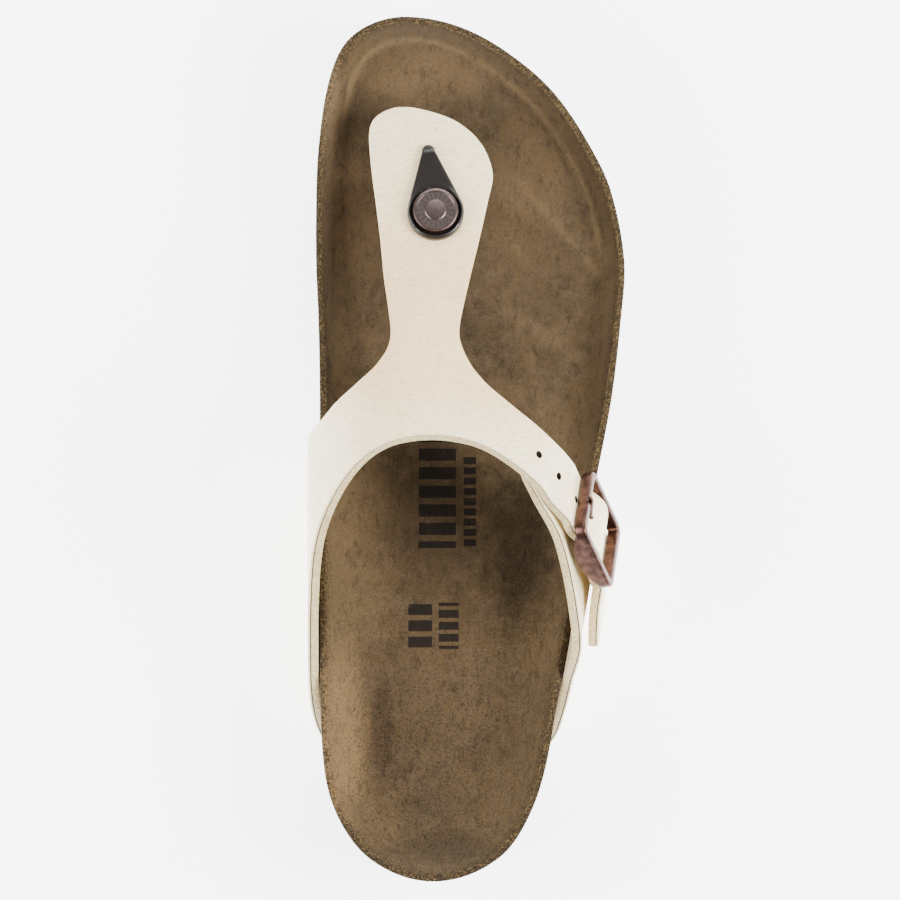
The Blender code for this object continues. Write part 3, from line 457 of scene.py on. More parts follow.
def rings(lower_by):
    """Rings of points over the footbed's foot side, lowered by a thickness."""
    down = Vector((0, 0, lower_by))
    return [
        [footbed_point(side, step, share) - down for side, step in around()]
        for share in RINGS
    ]


def wall_ring(height):
    """Ring round the sole's side. height: 0 at the joint to 1 at the rim."""
    ring = []
    for side, step in around():
        along = unturn(step)
        place = edge_point(side, step, tuck(side, along) * (1 - height))
        low = joint_z(along) + GAP
        ring.append(Vector((place.x, place.y, low + (cork_rim_z(side, along) - low) * height)))
    return ring


top = rings(LINING_THICKNESS + GAP)
top[0] = wall_ring(1.0)
cork = ring_body("cork_core", [wall_ring(k / CORK_LEVELS) for k in range(CORK_LEVELS)] + top)

# Cork granules: crumbs of 1 to 2 mm from tan to bark brown in a darker binder, under a thin
# satin sealer that fills most of the pores
crumbs, tree, shader, place = new_finish("sealed_ground_cork", Roughness=0.6)
shader.inputs["Specular IOR Level"].default_value = 0.25
drift = add(tree, "TexNoise", {"Vector": place, "Scale": 1 / (4 * MM), "Detail": 2.0})
bent = add(
    tree, "VectorMath", {0: (drift, "Color"), 1: (0.0022, 0.0022, 0.0022), 2: place},
    operation="MULTIPLY_ADD"
)
crumb = add(tree, "TexVoronoi", {"Vector": (bent, "Vector"), "Scale": 1 / (1.5 * MM)})
gap_line = add(
    tree, "TexVoronoi", {"Vector": (bent, "Vector"), "Scale": 1 / (1.5 * MM)},
    feature="DISTANCE_TO_EDGE"
)
shade = add(tree, "SeparateColor", {"Color": (crumb, "Color")})
tan = add(
    tree, "Mix", {0: (shade, "Red"), 6: linear("#442b13"), 7: linear("#714b24")}, data_type="RGBA"
)
bark_share = add(tree, "MapRange", {"Value": (shade, "Green"), "From Min": 0.72, "From Max": 0.8})
bark = add(
    tree, "Mix", {0: (bark_share, "Result"), 6: (tan, 2), 7: linear("#2a1a0c")}, data_type="RGBA"
)
binder_share = add(
    tree, "MapRange", {"Value": (gap_line, "Distance"), "From Min": 0.0, "From Max": 0.09,
    "To Min": 0.75, "To Max": 0.0}
)
colour = add(
    tree, "Mix", {0: (binder_share, "Result"), 6: (bark, 2), 7: linear("#352212")}, data_type="RGBA"
)
tree.links.new(colour.outputs[2], shader.inputs["Base Color"])
fine = add(tree, "TexNoise", {"Vector": place, "Scale": 1 / (0.6 * MM), "Detail": 4.0})
relief = add(
    tree, "Math", {0: (gap_line, "Distance"), 1: 3.0, 2: (fine, "Fac")}, operation="MULTIPLY_ADD"
)
pores = add(tree, "Bump", {"Strength": 0.5, "Distance": 0.2 * MM, "Height": (relief, "Value")})
tree.links.new(pores.outputs["Normal"], shader.inputs["Normal"])
wear(cork, "midsole", crumbs)

# Suede footbed
# Brown suede split glued over the cork and trimmed at the rim. Pressing has left a line at the foot of the
# rim's slope, and wear has darkened and creased it.
# Its colour also holds painted shadow beside the straps and painted highlight on slopes and ridges that
# face the lamps.

POST_DIAMETER = 3.4 * MM
POST_DEPTH = 8 * MM
POST_ALONG = 0.8427
POST_ACROSS = -0.016

# Soft creases in the suede, as straight folds seen from above.
# All in mm; height is above the bed where positive and pressed in where negative.
CREASES = [
    # from x, from y, to x, to y, half width, height
    (25, 181, 50, 153, 1.2, 0.35),
    (22, 165, 28, 156, 1.3, 0.30),
    (22, 142, 43, 128, 2.0, 0.22),
    (29, 128, 33, 108, 1.4, 0.20),
    (-20, 132, -14, 118, 1.5, 0.18),
    (38, 196, 52, 156, 1.1, 0.25),
    (-26, 150, -23, 128, 1.6, -0.25),
    (33, 148, 45, 136, 1.6, -0.25),
    (-8, 214, 8, 216, 1.5, -0.2),
]
# Pressed line at the foot of the rim's slope, from this share of the length to the toe
LINE_FROM = 0.70
LINE_INSET = 0.078 * BALL_WIDTH
LINE_HALF_WIDTH = 0.9 * MM
LINE_HEIGHT = 0.30 * MM
# Wear on the suede, and painted shadow and highlight, as soft ovals seen from above. Sizes in mm; share is
# its strength.
WEAR_AND_PAINTED_LIGHT_MARKS = [
    # x, y, half x, half y, share, tint
    (0, 24, 26, 36, 0.35, "#3d2f1f"),
    # Painted shadow of the buckle straps on the outer waist
    (28, 70, 15, 30, 0.75, "#21190f"),
    # Darker under the straps' bridge
    (-4, 78, 26, 40, 0.40, "#2b2116"),
    # Painted light that lifts the stem's shadow on the inner forefoot
    (-23, 172, 11, 34, 0.60, "#5f4d37"),
    # Painted highlight on the inner slope at the toe, which faces the key light
    (-31, 205, 4, 26, 0.45, "#78634a"),
    (-15.5, 14, 4, 30, 0.45, "#2a1e12"),
    (2, -20, 20, 7, 0.60, "#2a2014"),
    (10, 140, 30, 30, 0.20, "#33281b"),
    (30, 178, 16, 34, 0.40, "#5a4832"),
    (0, 214, 26, 10, 0.40, "#57452f"),
    # Painted highlight on the inner slope of the heel, which faces the key light
    (-28, 14, 9, 34, 0.70, "#7d6545"),
]


def fold(x, y):
    """Height of the creases at a place."""
    height = 0.0
    here = Vector((x, y))
    for x0, y0, x1, y1, half, rise in CREASES:
        start, end = Vector((x0, y0)) * MM, Vector((x1, y1)) * MM
        run = end - start
        share = min(1.0, max(0.0, (here - start).dot(run) / run.length_squared))
        height += rise * MM * hump((here - start - run * share).length, half * MM)
    return height


def line_share(along, inset):
    """Strength of the pressed line at a place."""
    return hump(inset - LINE_INSET, LINE_HALF_WIDTH) * min(1.0, max(0.0, (along - LINE_FROM) / 0.06))


def nap(point, size):
    """Unevenness of the suede, from -1 to 1."""
    return noise.noise(point / size)


over, masks = [], []
for share in RINGS:
    ring = []
    for side, step in around():
        point = footbed_point(side, step, share)
        outer = edge_point(side, step)
        inset = math.hypot(point.x - outer.x, point.y - outer.y)
        along = y_to_along(point.y)
        slope = min(1.0, max(0.0, inset - RIM_LAND) / wall_reach(side, unturn(step)))
        line = line_share(along, inset)
        rim = min(1.0, max(0.0, 1.35 - inset / (3.0 * MM)))
        rough = 0.16 * MM * nap(point, 1.3 * MM) * min(1.0, 2 * rim)
        wave = 0.22 * MM * nap(point, 11 * MM) * (1 - rim)
        side_cut = edge_point(side, step, 0.35 * MM * (0.5 + 0.5 * nap(point, 2.6 * MM)))
        if share == 0.0:
            point.x, point.y = side_cut.x, side_cut.y
        point.z += fold(point.x, point.y) + line * LINE_HEIGHT + rough + wave
        ring.append(point)
        # Crests of the creases are painted paler: partly scuffed nap, partly a painted highlight on the
        # ridges
        pale = 0.4 * max(0.0, min(1.0, fold(point.x, point.y) / (0.3 * MM)))
        masks.append((1 - slope, rim, max(line, pale)))
    over.append(ring)
under = rings(LINING_THICKNESS)
suede = ring_body("suede_footbed", under[::-1] + over)
first = len(RINGS) * len(over[0])
for number, name in enumerate(("slope", "rim", "line")):
    values = suede.data.attributes.new(name, "FLOAT", "POINT").data
    for k, mask in enumerate(masks):
        values[first + k].value = mask[number]


def disc_body(name, levels):
    """Closed body through a stack of rings, closed by a flat face at both ends."""
    count = len(levels[0])
    last = (len(levels) - 1) * count
    points = [p for ring in levels for p in ring]
    faces = [tuple(range(count)), tuple(range(last, last + count))]
    for i in range(len(levels) - 1):
        faces += band(i * count, (i + 1) * count, count)
    return new_object(name, points, faces)


def tube_body(name, path, radii, sides, sideways):
    """Round bar along a path that lies in a plane at right angles to sideways."""
    levels = []
    for i, point in enumerate(path):
        ahead = path[min(i + 1, len(path) - 1)] - path[max(i - 1, 0)]
        up = sideways.cross(ahead).normalized()
        turns = [2 * math.pi * k / sides for k in range(sides)]
        levels.append(
            [point + (sideways * math.cos(a) + up * math.sin(a)) * radii[i] for a in turns]
        )
    return disc_body(name, levels)


def post_plan():
    """Middle of the toe post, seen from above."""
    return Vector((POST_ACROSS * BALL_WIDTH, along_to_y(POST_ALONG)))


def post_hole(low, high):
    """Round tool for the post's hole, between two heights."""
    plan = post_plan()
    radius = POST_DIAMETER / 2 + GAP
    path = [Vector((plan.x, plan.y, low)), Vector((plan.x, plan.y, high))]
    return tube_body("post_hole_tool", path, [radius, radius], 24, Vector((1, 0, 0)))


bed = bed_z(*post_plan())
for piece in (suede, cork):
    hole = post_hole(bed - LINING_THICKNESS - POST_DEPTH - GAP, bed + POST_DEPTH)
    settle(combine(piece, hole, "DIFFERENCE"), hole)

# Suede: a dull short nap. Its colour runs from dark brown where wear has flattened it to tan on the
# slope of the rim, a tan that is partly a painted highlight, with specks where the nap is open. The specks
# are drawn 1.1 mm wide.
nap_finish, tree, shader, place = new_finish("brown_suede", Roughness=0.95, Sheen_Weight=0.06)
shader.inputs["Specular IOR Level"].default_value = 0.15
cloud = add(
    tree, "TexNoise", {"Vector": place, "Scale": 1 / (34 * MM), "Detail": 5.0, "Roughness": 0.62}
)
mottle = add(
    tree, "TexNoise", {"Vector": place, "Scale": 1 / (5 * MM), "Detail": 6.0, "Roughness": 0.7}
)
speck = add(
    tree, "TexNoise", {"Vector": place, "Scale": 1 / (1.1 * MM), "Detail": 4.0, "Roughness": 0.7}
)
smear_place = add(tree, "VectorMath", {0: place, 1: (1.0, 0.45, 1.0)}, operation="MULTIPLY")
smear = add(
    tree, "TexNoise", {"Vector": (smear_place, "Vector"), "Scale": 1 / (2.2 * MM), "Detail": 7.0,
    "Roughness": 0.75, "Distortion": 0.6}
)
cloud_share = add(tree, "MapRange", {"Value": (cloud, "Fac"), "From Min": 0.36, "From Max": 0.64})
brown = add(
    tree, "Mix", {0: (cloud_share, "Result"), 6: linear("#332a1c"), 7: linear("#4c3e2a")},
    data_type="RGBA"
)
mottle_share = add(
    tree, "MapRange", {"Value": (mottle, "Fac"), "From Min": 0.42, "From Max": 0.68, "To Min": 0.0,
    "To Max": 0.55}
)
slope_mask = add(tree, "Attribute", {}, attribute_name="slope")
rim_mask = add(tree, "Attribute", {}, attribute_name="rim")
line_mask = add(tree, "Attribute", {}, attribute_name="line")
slope_share = add(
    tree, "MapRange", {"Value": (slope_mask, "Fac"), "From Min": 0.05, "From Max": 0.7,
    "To Max": 0.5}
)
light_smear = add(
    tree, "MapRange", {"Value": (smear, "Fac"), "From Min": 0.50, "From Max": 0.66, "To Max": 0.5}
)
dark_smear = add(
    tree, "MapRange", {"Value": (smear, "Fac"), "From Min": 0.50, "From Max": 0.34, "To Max": 0.55}
)
line_amount = add(tree, "Math", {0: (line_mask, "Fac"), 1: 0.42}, operation="MULTIPLY")
rim_amount = add(tree, "MapRange", {"Value": (rim_mask, "Fac"), "To Max": 0.85})
suede_tone = (brown, 2)
for share, tint in (
    ((mottle_share, "Result"), "#524435"),
    # Tan on the rim's slope: partly the suede's paler tone, partly a painted highlight where the slope
    # faces the lamps
    ((slope_share, "Result"), "#5c4b32"),
    # Pale pressed line and crease crests: partly scuffed nap, partly a painted highlight on the ridges
    ((line_amount, "Value"), "#7a6649"),
    ((rim_amount, "Result"), "#302716"),
):
    laid = add(tree, "Mix", {0: share, 6: suede_tone, 7: linear(tint)}, data_type="RGBA")
    suede_tone = (laid, 2)

# Places darkened by wear or rubbed paler, and places with painted shadow or painted highlight, soft at
# their edges
for x, y, half_x, half_y, share, tint in WEAR_AND_PAINTED_LIGHT_MARKS:
    local = add(tree, "VectorMath", {0: place, 1: (x * MM, y * MM, 0)}, operation="SUBTRACT")
    shrunk = add(
        tree, "VectorMath", {0: (local, "Vector"), 1: (1 / (half_x * MM), 1 / (half_y * MM), 0)},
        operation="MULTIPLY"
    )
    oval = add(tree, "VectorMath", {0: (shrunk, "Vector")}, operation="LENGTH")
    ragged = add(
        tree, "Math", {0: (mottle, "Fac"), 1: 0.9, 2: (oval, "Value")}, operation="MULTIPLY_ADD"
    )
    amount = add(
        tree, "MapRange", {"Value": (ragged, "Value"), "From Min": 0.75, "From Max": 1.55,
        "To Min": share, "To Max": 0.0}, interpolation_type="SMOOTHSTEP"
    )
    mixed = add(tree, "Mix", {0: (amount, "Result"), 6: suede_tone, 7: linear(tint)}, data_type="RGBA")
    suede_tone = (mixed, 2)
# Nap brushed one way is lighter and the other way darker
lifted = add(
    tree, "Mix", {0: (light_smear, "Result"), 6: suede_tone, 7: linear("#c0b090")}, data_type="RGBA",
    blend_type="SOFT_LIGHT"
)
pressed = add(
    tree, "Mix", {0: (dark_smear, "Result"), 6: (lifted, 2), 7: linear("#8a7d6c")},
    data_type="RGBA", blend_type="MULTIPLY"
)
suede_tone = (pressed, 2)

# Specks of open nap, more of them on the rim
axes = add(tree, "SeparateXYZ", {"Vector": place})
heelward = add(
    tree, "MapRange", {"Value": (axes, "Y"), "From Min": 20 * MM, "From Max": 90 * MM,
    "To Min": 0.60, "To Max": 0.66}
)
speck_low = add(
    tree, "Math", {0: (rim_mask, "Fac"), 1: -0.13, 2: (heelward, "Result")},
    operation="MULTIPLY_ADD"
)
speck_high = add(tree, "Math", {0: (speck_low, "Value"), 1: 0.10}, operation="ADD")
speck_share = add(
    tree, "MapRange", {"Value": (speck, "Fac"), "From Min": (speck_low, "Value"),
    "From Max": (speck_high, "Value"), "To Max": 0.75}
)

# Grit of the cut fibres, drawn 0.6 mm wide: dark in the heel, dark and tan on the rim
grit = add(
    tree, "TexNoise", {"Vector": place, "Scale": 1 / (0.6 * MM), "Detail": 2.0, "Roughness": 0.8}
)
dark_grit = add(tree, "MapRange", {"Value": (grit, "Fac"), "From Min": 0.48, "From Max": 0.36})
tan_grit = add(tree, "MapRange", {"Value": (grit, "Fac"), "From Min": 0.54, "From Max": 0.64})
grit_room = add(
    tree, "MapRange", {"Value": (heelward, "Result"), "From Min": 0.60, "From Max": 0.66,
    "To Min": 0.60, "To Max": 0.22}
)
dark_room = add(tree, "Math", {0: (rim_mask, "Fac"), 1: (grit_room, "Result")}, operation="MAXIMUM")
dark_share = add(tree, "Math", {0: (dark_grit, "Result"), 1: (dark_room, 0)}, operation="MULTIPLY")
tan_room = add(tree, "Math", {0: (rim_mask, "Fac"), 1: 0.5, 2: 0.10}, operation="MULTIPLY_ADD")
tan_share = add(tree, "Math", {0: (tan_grit, "Result"), 1: (tan_room, 0)}, operation="MULTIPLY")

# Plain printed bars in black ink, in rows across the waist and the heel.
# All in mm: middle, half size, and the pitch and width of the bars along the foot.
PRINTS = [
    # middle x, middle y, half x, half y, pitch, bar
    (1.2, 87.0, 5.6, 17.0, 5.6, 3.7),
    (11.0, 84.0, 1.9, 14.0, 3.1, 2.1),
    (-4.0, 46.5, 3.6, 7.0, 4.9, 3.3),
    (4.6, 46.5, 3.0, 7.0, 3.6, 2.4),
]
inked = add(tree, "Value", {})
inked.outputs[0].default_value = 0.0
printed = (inked, 0)
for x, y, half_x, half_y, pitch, bar in PRINTS:
    off_x = add(tree, "Math", {0: (axes, "X"), 1: x * MM}, operation="SUBTRACT")
    off_y = add(tree, "Math", {0: (axes, "Y"), 1: y * MM}, operation="SUBTRACT")
    in_x = add(tree, "Math", {0: (off_x, 0), 1: 0.0, 2: half_x * MM}, operation="COMPARE")
    in_y = add(tree, "Math", {0: (off_y, 0), 1: 0.0, 2: half_y * MM}, operation="COMPARE")
    turned = add(tree, "Math", {0: (off_y, 0), 1: pitch * MM / 2}, operation="PINGPONG")
    on_bar = add(tree, "Math", {0: (turned, 0), 1: bar * MM / 2}, operation="LESS_THAN")
    inside = add(tree, "Math", {0: (in_x, 0), 1: (in_y, 0)}, operation="MULTIPLY")
    mark = add(tree, "Math", {0: (inside, 0), 1: (on_bar, 0)}, operation="MULTIPLY")
    total = add(tree, "Math", {0: printed, 1: (mark, 0)}, operation="MAXIMUM")
    printed = (total, 0)
rubbed = add(
    tree, "MapRange", {"Value": (mottle, "Fac"), "From Min": 0.60, "From Max": 0.72,
    "To Min": 0.88, "To Max": 0.45}
)
ink_share = add(tree, "Math", {0: printed, 1: (rubbed, "Result")}, operation="MULTIPLY")
# Specks, dark grit, tan grit and ink, each over the last
for share, tint in (
    ((speck_share, "Result"), "#1d150c"),
    ((dark_share, 0), "#1c150c"),
    ((tan_share, 0), "#7a6341"),
    ((ink_share, 0), "#0b0908"),
):
    laid = add(tree, "Mix", {0: share, 6: suede_tone, 7: linear(tint)}, data_type="RGBA")
    suede_tone = (laid, 2)
tree.links.new(laid.outputs[2], shader.inputs["Base Color"])
fibres = add(tree, "TexNoise", {"Vector": place, "Scale": 1 / (0.35 * MM), "Detail": 4.0})
pile = add(tree, "Math", {0: (mottle, "Fac"), 1: 2.0, 2: (fibres, "Fac")}, operation="MULTIPLY_ADD")
fuzz = add(tree, "Bump", {"Strength": 0.5, "Distance": 0.25 * MM, "Height": (pile, 0)})
tree.links.new(fuzz.outputs["Normal"], shader.inputs["Normal"])
wear(suede, "footbed_lining", nap_finish)

# T strap
# PVC coated with a pearl finish on felt, cut in one piece. It is lasted under the inner side
# of the cork, crosses the instep and ends in a tail that the buckle holds; its stem goes
# forward to the toe post.

INSTEP_HEIGHT = 77 * MM
STRAP_THICKNESS = 3.2 * MM
STRAP_SKIVED = 1.3 * MM
LASTING_MARGIN = 8 * MM
STRAP_TAIL_WIDTH = 20 * MM
TAIL_LENGTH = 26 * MM
STRAP_HOLE_DIAMETER = 2.4 * MM
STRAP_HOLE_SPACING = 9.8 * MM
RIM_SHOULDER = 1 * MM
TAB_DIAMETER = 16.8 * MM
TAB_THICKNESS = 1.8 * MM
TAB_REACH = 18.8 * MM
TAB_TURN = math.radians(6.7)
RIVET_DIAMETER = 3.6 * MM
BUCKLE_LENGTH = 26 * MM
BUCKLE_HEIGHT = 27 * MM
BUCKLE_DEPTH = 3.6 * MM
BUCKLE_BAR_WIDTH = 2.7 * MM
BUCKLE_CORNER = 3.5 * MM
CENTRE_BAR_DIAMETER = 2.0 * MM
PRONG_WIDTH = 2.0 * MM
PRONG_TIP = 1.5 * MM
LOOP_THICKNESS = 0.8 * MM
BUCKLE_ALONG = 0.4031
BUCKLE_OUT = 0.427
BUCKLE_UP = 0.639
BUCKLE_LEAN = math.radians(18.5)
BUCKLE_TURN = math.radians(9.1)
STRAP_FALL = math.radians(43.3)
PASSING_ROOM = 0.6 * MM
PRONG_HOLE_SHARE = 0.4
STRAP_COLUMNS = 32
T_STRAP_FAIRING, SIDE_STRAP_FAIRING = 60, 140
T_CORNER_REACH, T_CORNER_PASSES = 9 * MM, 12
ROW_SPACING = 1.4 * MM

# Crest of the foot that the straps are lasted over, outside face of the strap.
# along: share of LENGTH. height: share of INSTEP_HEIGHT.
CREST = [
    # along, height
    (0.154, 1.270),
    (0.270, 1.270),
    (0.346, 1.255),
    (0.408, 1.205),
    (0.442, 1.150),
    (0.477, 1.080),
    (0.512, 1.000),
    (0.538, 0.928),
    (0.569, 0.853),
    (0.619, 0.752),
    (0.692, 0.652),
    (0.773, 0.572),
    (0.846, 0.522),
    (0.892, 0.500),
]
# Fullness of the cross section, sideways and upwards, at the inner and the outer side
MEDIAL_FULLNESS = (2.2, 1.8)
LATERAL_FULLNESS = (2.2, 1.3)

# T strap, from the sole on the inner side, over the instep, to just above the buckle.
# along: share of LENGTH. round: place round the foot, 0 on the crest, 1 where the side stands
# upright, 2 at the joint with the outsole, below 0 on the inner side.
T_STRAP = [
    # front along, front round, rear along, rear round
    (0.4885, -2.00, 0.158, -2.00),
    (0.4920, -1.80, 0.160, -1.72),
    (0.4985, -1.50, 0.170, -1.50),
    (0.5060, -1.20, 0.210, -1.08),
    (0.5130, -1.00, 0.262, -0.975),
    (0.5180, -0.88, 0.320, -0.915),
    (0.5225, -0.77, 0.372, -0.830),
    (0.5335, -0.66, 0.404, -0.735),
    (0.5535, -0.535, 0.436, -0.610),
    (0.5730, -0.390, 0.466, -0.480),
    (0.5940, -0.275, 0.493, -0.350),
    (0.6173, -0.193, 0.5095, -0.215),
    (0.6173, -0.105, 0.5172, -0.110),
    (0.6173, -0.017, 0.5190, -0.015),
    (0.6173, 0.071, 0.5150, 0.075),
    (0.5950, 0.102, 0.5090, 0.130),
    (0.5740, 0.155, 0.5000, 0.190),
    (0.5510, 0.235, 0.4880, 0.252),
    (0.5250, 0.345, 0.4735, 0.325),
    (0.5010, 0.460, 0.4570, 0.405),
    (0.4850, 0.545, 0.4430, 0.475),
]
# Rows of T_STRAP between which the stem grows out of the front edge
STEM_FROM, STEM_TO = 11, 14

# Stem of the T. along: share of LENGTH. medial, lateral: shares of BALL_WIDTH from the axis.
STEM = [
    # along, medial, lateral
    (0.6173, -0.1315, 0.0770),
    (0.6480, -0.1395, 0.0875),
    (0.6940, -0.158, 0.116),
    (0.7405, -0.171, 0.148),
    (0.7866, -0.187, 0.177),
    (0.8155, -0.198, 0.192),
    (0.8440, -0.206, 0.168),
    (0.8616, -0.208, 0.132),
    (0.8720, -0.204, 0.098),
    (0.8800, -0.193, 0.062),
    (0.8860, -0.175, 0.020),
    (0.8905, -0.152, -0.024),
    (0.8933, -0.128, -0.060),
    (0.8943, -0.110, -0.086),
]

# Free end of the T strap below the buckle, which turns in to the side strap.
# down: share of TAIL_LENGTH. width: share of STRAP_TAIL_WIDTH. out: shares of STRAP_THICKNESS.
TAIL = [
    # down, width, out
    (0.30, 1.00, -1.10),
    (0.65, 1.00, -2.20),
    (0.86, 0.985, -2.80),
    (0.93, 0.945, -3.00),
    (0.97, 0.88, -3.11),
    (0.99, 0.80, -3.17),
    (1.00, 0.70, -3.20),
]

# Cut edge of a strap from its coated face to its felt face.
# depth: share of the thickness. in: mm from the edge. layer of the strip below: 0 coat,
# 1 glue, 2 felt.
STRAP_EDGE = [
    # depth, in, layer
    (0.00, 0.32, 0),
    (0.03, 0.10, 0),
    (0.09, 0.00, 0),
    (0.19, 0.00, 0),
    (0.21, 0.20, 1),
    (0.31, 0.20, 2),
    (0.34, 0.02, 2),
    (0.60, -0.03, 2),
    (0.90, 0.00, 2),
    (1.00, 0.22, 2),
]


def ease(u):
    """0 to 1, level at both ends."""
    u = min(1.0, max(0.0, u))
    return u * u * (3 - 2 * u)


def side_x(side, along, inset):
    """Distance of the cork's side from the axis at a share of the length, drawn in by inset."""
    share = along
    for _ in range(6):
        place = edge_point(side, turn(share), inset)
        share -= (place.y - along_to_y(along)) / LENGTH
    return abs(place.x)


def upright_z(side, along):
    """Height at which the strap stands upright beside the rim."""
    return rim_z(side, along) - RIM_SHOULDER


def side_reach(side, along):
    """Outside face of a strap beside the rim, from the axis."""
    return rim_x(side, along) + GAP + STRAP_THICKNESS


def foot_point(along, place):
    """Outside face of a strap at a share of the length and a place round the foot."""
    side = MEDIAL if place < 0 else LATERAL
    amount = abs(place)
    reach, low = side_reach(side, along), upright_z(side, along)
    y = along_to_y(along)
    if amount <= 1:
        wide, tall = pick(side, MEDIAL_FULLNESS, LATERAL_FULLNESS)
        angle = amount * math.pi / 2
        height = column(CREST, 1, along) * INSTEP_HEIGHT - low
        x = reach * math.sin(angle) ** (2 / wide)
        return Vector((side * x, y, low + height * max(0.0, math.cos(angle)) ** (2 / tall)))
    drop = min(1.0, amount - 1)
    foot = joint_z(along) + GAP
    z = low + (foot - low) * drop
    top = cork_rim_z(side, along)
    drawn_in = tuck(side, along) * max(0.0, top - z) / (top - foot)
    stand_off = (GAP + STRAP_THICKNESS) * (1 - ease((drop - 0.5) / 0.5))
    x = side_x(side, along, drawn_in) + stand_off
    return Vector((side * (x - max(0.0, amount - 2) * LASTING_MARGIN), y, z))


def place_of_x(x, along):
    """Place round the foot of a point on the upper part, seen from above."""
    side = MEDIAL if x < 0 else LATERAL
    wide = pick(side, MEDIAL_FULLNESS, LATERAL_FULLNESS)[0]
    share = min(1.0, abs(x) / side_reach(side, along))
    return side * math.asin(share ** (wide / 2)) * 2 / math.pi


def foot_normal(along, place):
    """Outward direction of the foot surface near the crest."""
    step_along, step_place = 0.004, 0.01
    forward = foot_point(along + step_along, place) - foot_point(along - step_along, place)
    outward = foot_point(along, place + step_place) - foot_point(along, place - step_place)
    return outward.cross(forward).normalized()


OUT = Vector(
    (
        math.cos(BUCKLE_LEAN) * math.cos(BUCKLE_TURN),
        math.cos(BUCKLE_LEAN) * math.sin(BUCKLE_TURN),
        math.sin(BUCKLE_LEAN),
    )
)
REARWARD = Vector((OUT.y, -OUT.x, 0)).normalized()
DOWNWARD = REARWARD.cross(OUT).normalized()
if DOWNWARD.z > 0:
    DOWNWARD = -DOWNWARD
DOWN = REARWARD * math.cos(STRAP_FALL) + DOWNWARD * math.sin(STRAP_FALL)
ACROSS = DOWNWARD * math.cos(STRAP_FALL) - REARWARD * math.sin(STRAP_FALL)
BUCKLE_SEAT = Vector(
    (
        BUCKLE_OUT * BALL_WIDTH + GAP + STRAP_THICKNESS,
        along_to_y(BUCKLE_ALONG),
        BUCKLE_UP * INSTEP_HEIGHT,
    )
)
BAR_OUT = CENTRE_BAR_DIAMETER / 2 + LOOP_THICKNESS + 2 * GAP
STRAP_OVER_BAR = BAR_OUT + CENTRE_BAR_DIAMETER / 2 + LOOP_THICKNESS + 2 * GAP
STRAP_UNDER_ENDS = GAP + PASSING_ROOM
FRAME_LOW = STRAP_UNDER_ENDS + STRAP_THICKNESS + GAP
FRAME_HIGH = FRAME_LOW + BUCKLE_DEPTH
END_BAR_DOWN = (BUCKLE_HEIGHT - BUCKLE_BAR_WIDTH) / 2
STRAP_HUMP = END_BAR_DOWN - BUCKLE_BAR_WIDTH / 2


def in_buckle(across, down, out):
    return BUCKLE_SEAT + ACROSS * across + DOWN * down + OUT * out


def strap_rise(down):
    """Inside face of the T strap above the side strap, under, over and under the bars."""
    if abs(down) >= STRAP_HUMP:
        return STRAP_UNDER_ENDS
    share = (1 + math.cos(math.pi * down / STRAP_HUMP)) / 2
    return STRAP_UNDER_ENDS + (STRAP_OVER_BAR - STRAP_UNDER_ENDS) * share


def strap_outside(down):
    """Place down and out of the T strap's outside face, square to its inside face at down."""
    step = 0.1 * MM
    slope = (strap_rise(down + step) - strap_rise(down - step)) / (2 * step)
    length = math.hypot(1, slope)
    return down - STRAP_THICKNESS * slope / length, strap_rise(down) + STRAP_THICKNESS / length


def loft(stations):
    """Rows of points through stations, and the number of the row that each station gave."""
    knots = [0.0]
    for one, two in zip(stations, stations[1:]):
        knots.append(knots[-1] + sum((b - a).length for a, b in zip(one, two)) / len(one))
    rows, numbers = [], []
    for i in range(len(stations) - 1):
        numbers.append(len(rows))
        steps = max(1, round((knots[i + 1] - knots[i]) / ROW_SPACING))
        for k in range(steps):
            at = knots[i] + (knots[i + 1] - knots[i]) * k / steps
            row = []
            for j in range(len(stations[0])):
                line = [[s[j][axis] for s in stations] for axis in range(3)]
                row.append(Vector([through(knots, values, at) for values in line]))
            rows.append(row)
    numbers.append(len(rows))
    rows.append(list(stations[-1]))
    return rows, numbers


def grid_faces(rows, columns):
    faces = []
    for i in range(rows - 1):
        for j in range(columns - 1):
            k = i * columns + j
            faces.append((k, k + 1, k + columns + 1, k + columns))
    return faces


def open_sheet(points, faces, outward):
    """Sheet whose first face looks in a direction, and its points."""
    sheet = bmesh.new()
    made = [sheet.verts.new(p) for p in points]
    for face in faces:
        sheet.faces.new([made[k] for k in face])
    sheet.faces.ensure_lookup_table()
    sheet.normal_update()
    if sheet.faces[0].normal.dot(outward) < 0:
        bmesh.ops.reverse_faces(sheet, faces=sheet.faces)
        sheet.normal_update()
    sheet.verts.index_update()
    return sheet, made


def thickened(name, points, faces, thickness, outward, grow=0.0):
    """Solid of a sheet. points are its outside face, thickness is a list with one for each.

    outward is a direction that the first face should look in. grow makes the solid that much
    larger all round, for a seat cut into a neighbour.
    """
    sheet, made = open_sheet(points, faces, outward)
    outer = [v.co + v.normal * grow for v in made]
    inner = [v.co - v.normal * (t + grow) for v, t in zip(made, thickness)]
    for vert, place in zip(made, outer):
        vert.co = place
    back = [sheet.verts.new(p) for p in inner]
    sheet.verts.index_update()
    front_faces = list(sheet.faces)
    edges = [e for e in sheet.edges if e.is_boundary]
    loops = [(e.link_loops[0].vert.index, e.other_vert(e.link_loops[0].vert).index) for e in edges]
    for face in front_faces:
        sheet.faces.new([back[v.index] for v in reversed(face.verts)])
    for a, b in loops:
        sheet.faces.new([made[b], made[a], back[a], back[b]])
    bmesh.ops.triangulate(sheet, faces=sheet.faces)
    return placed(name, bpy.data.meshes.new(name), sheet, 40)


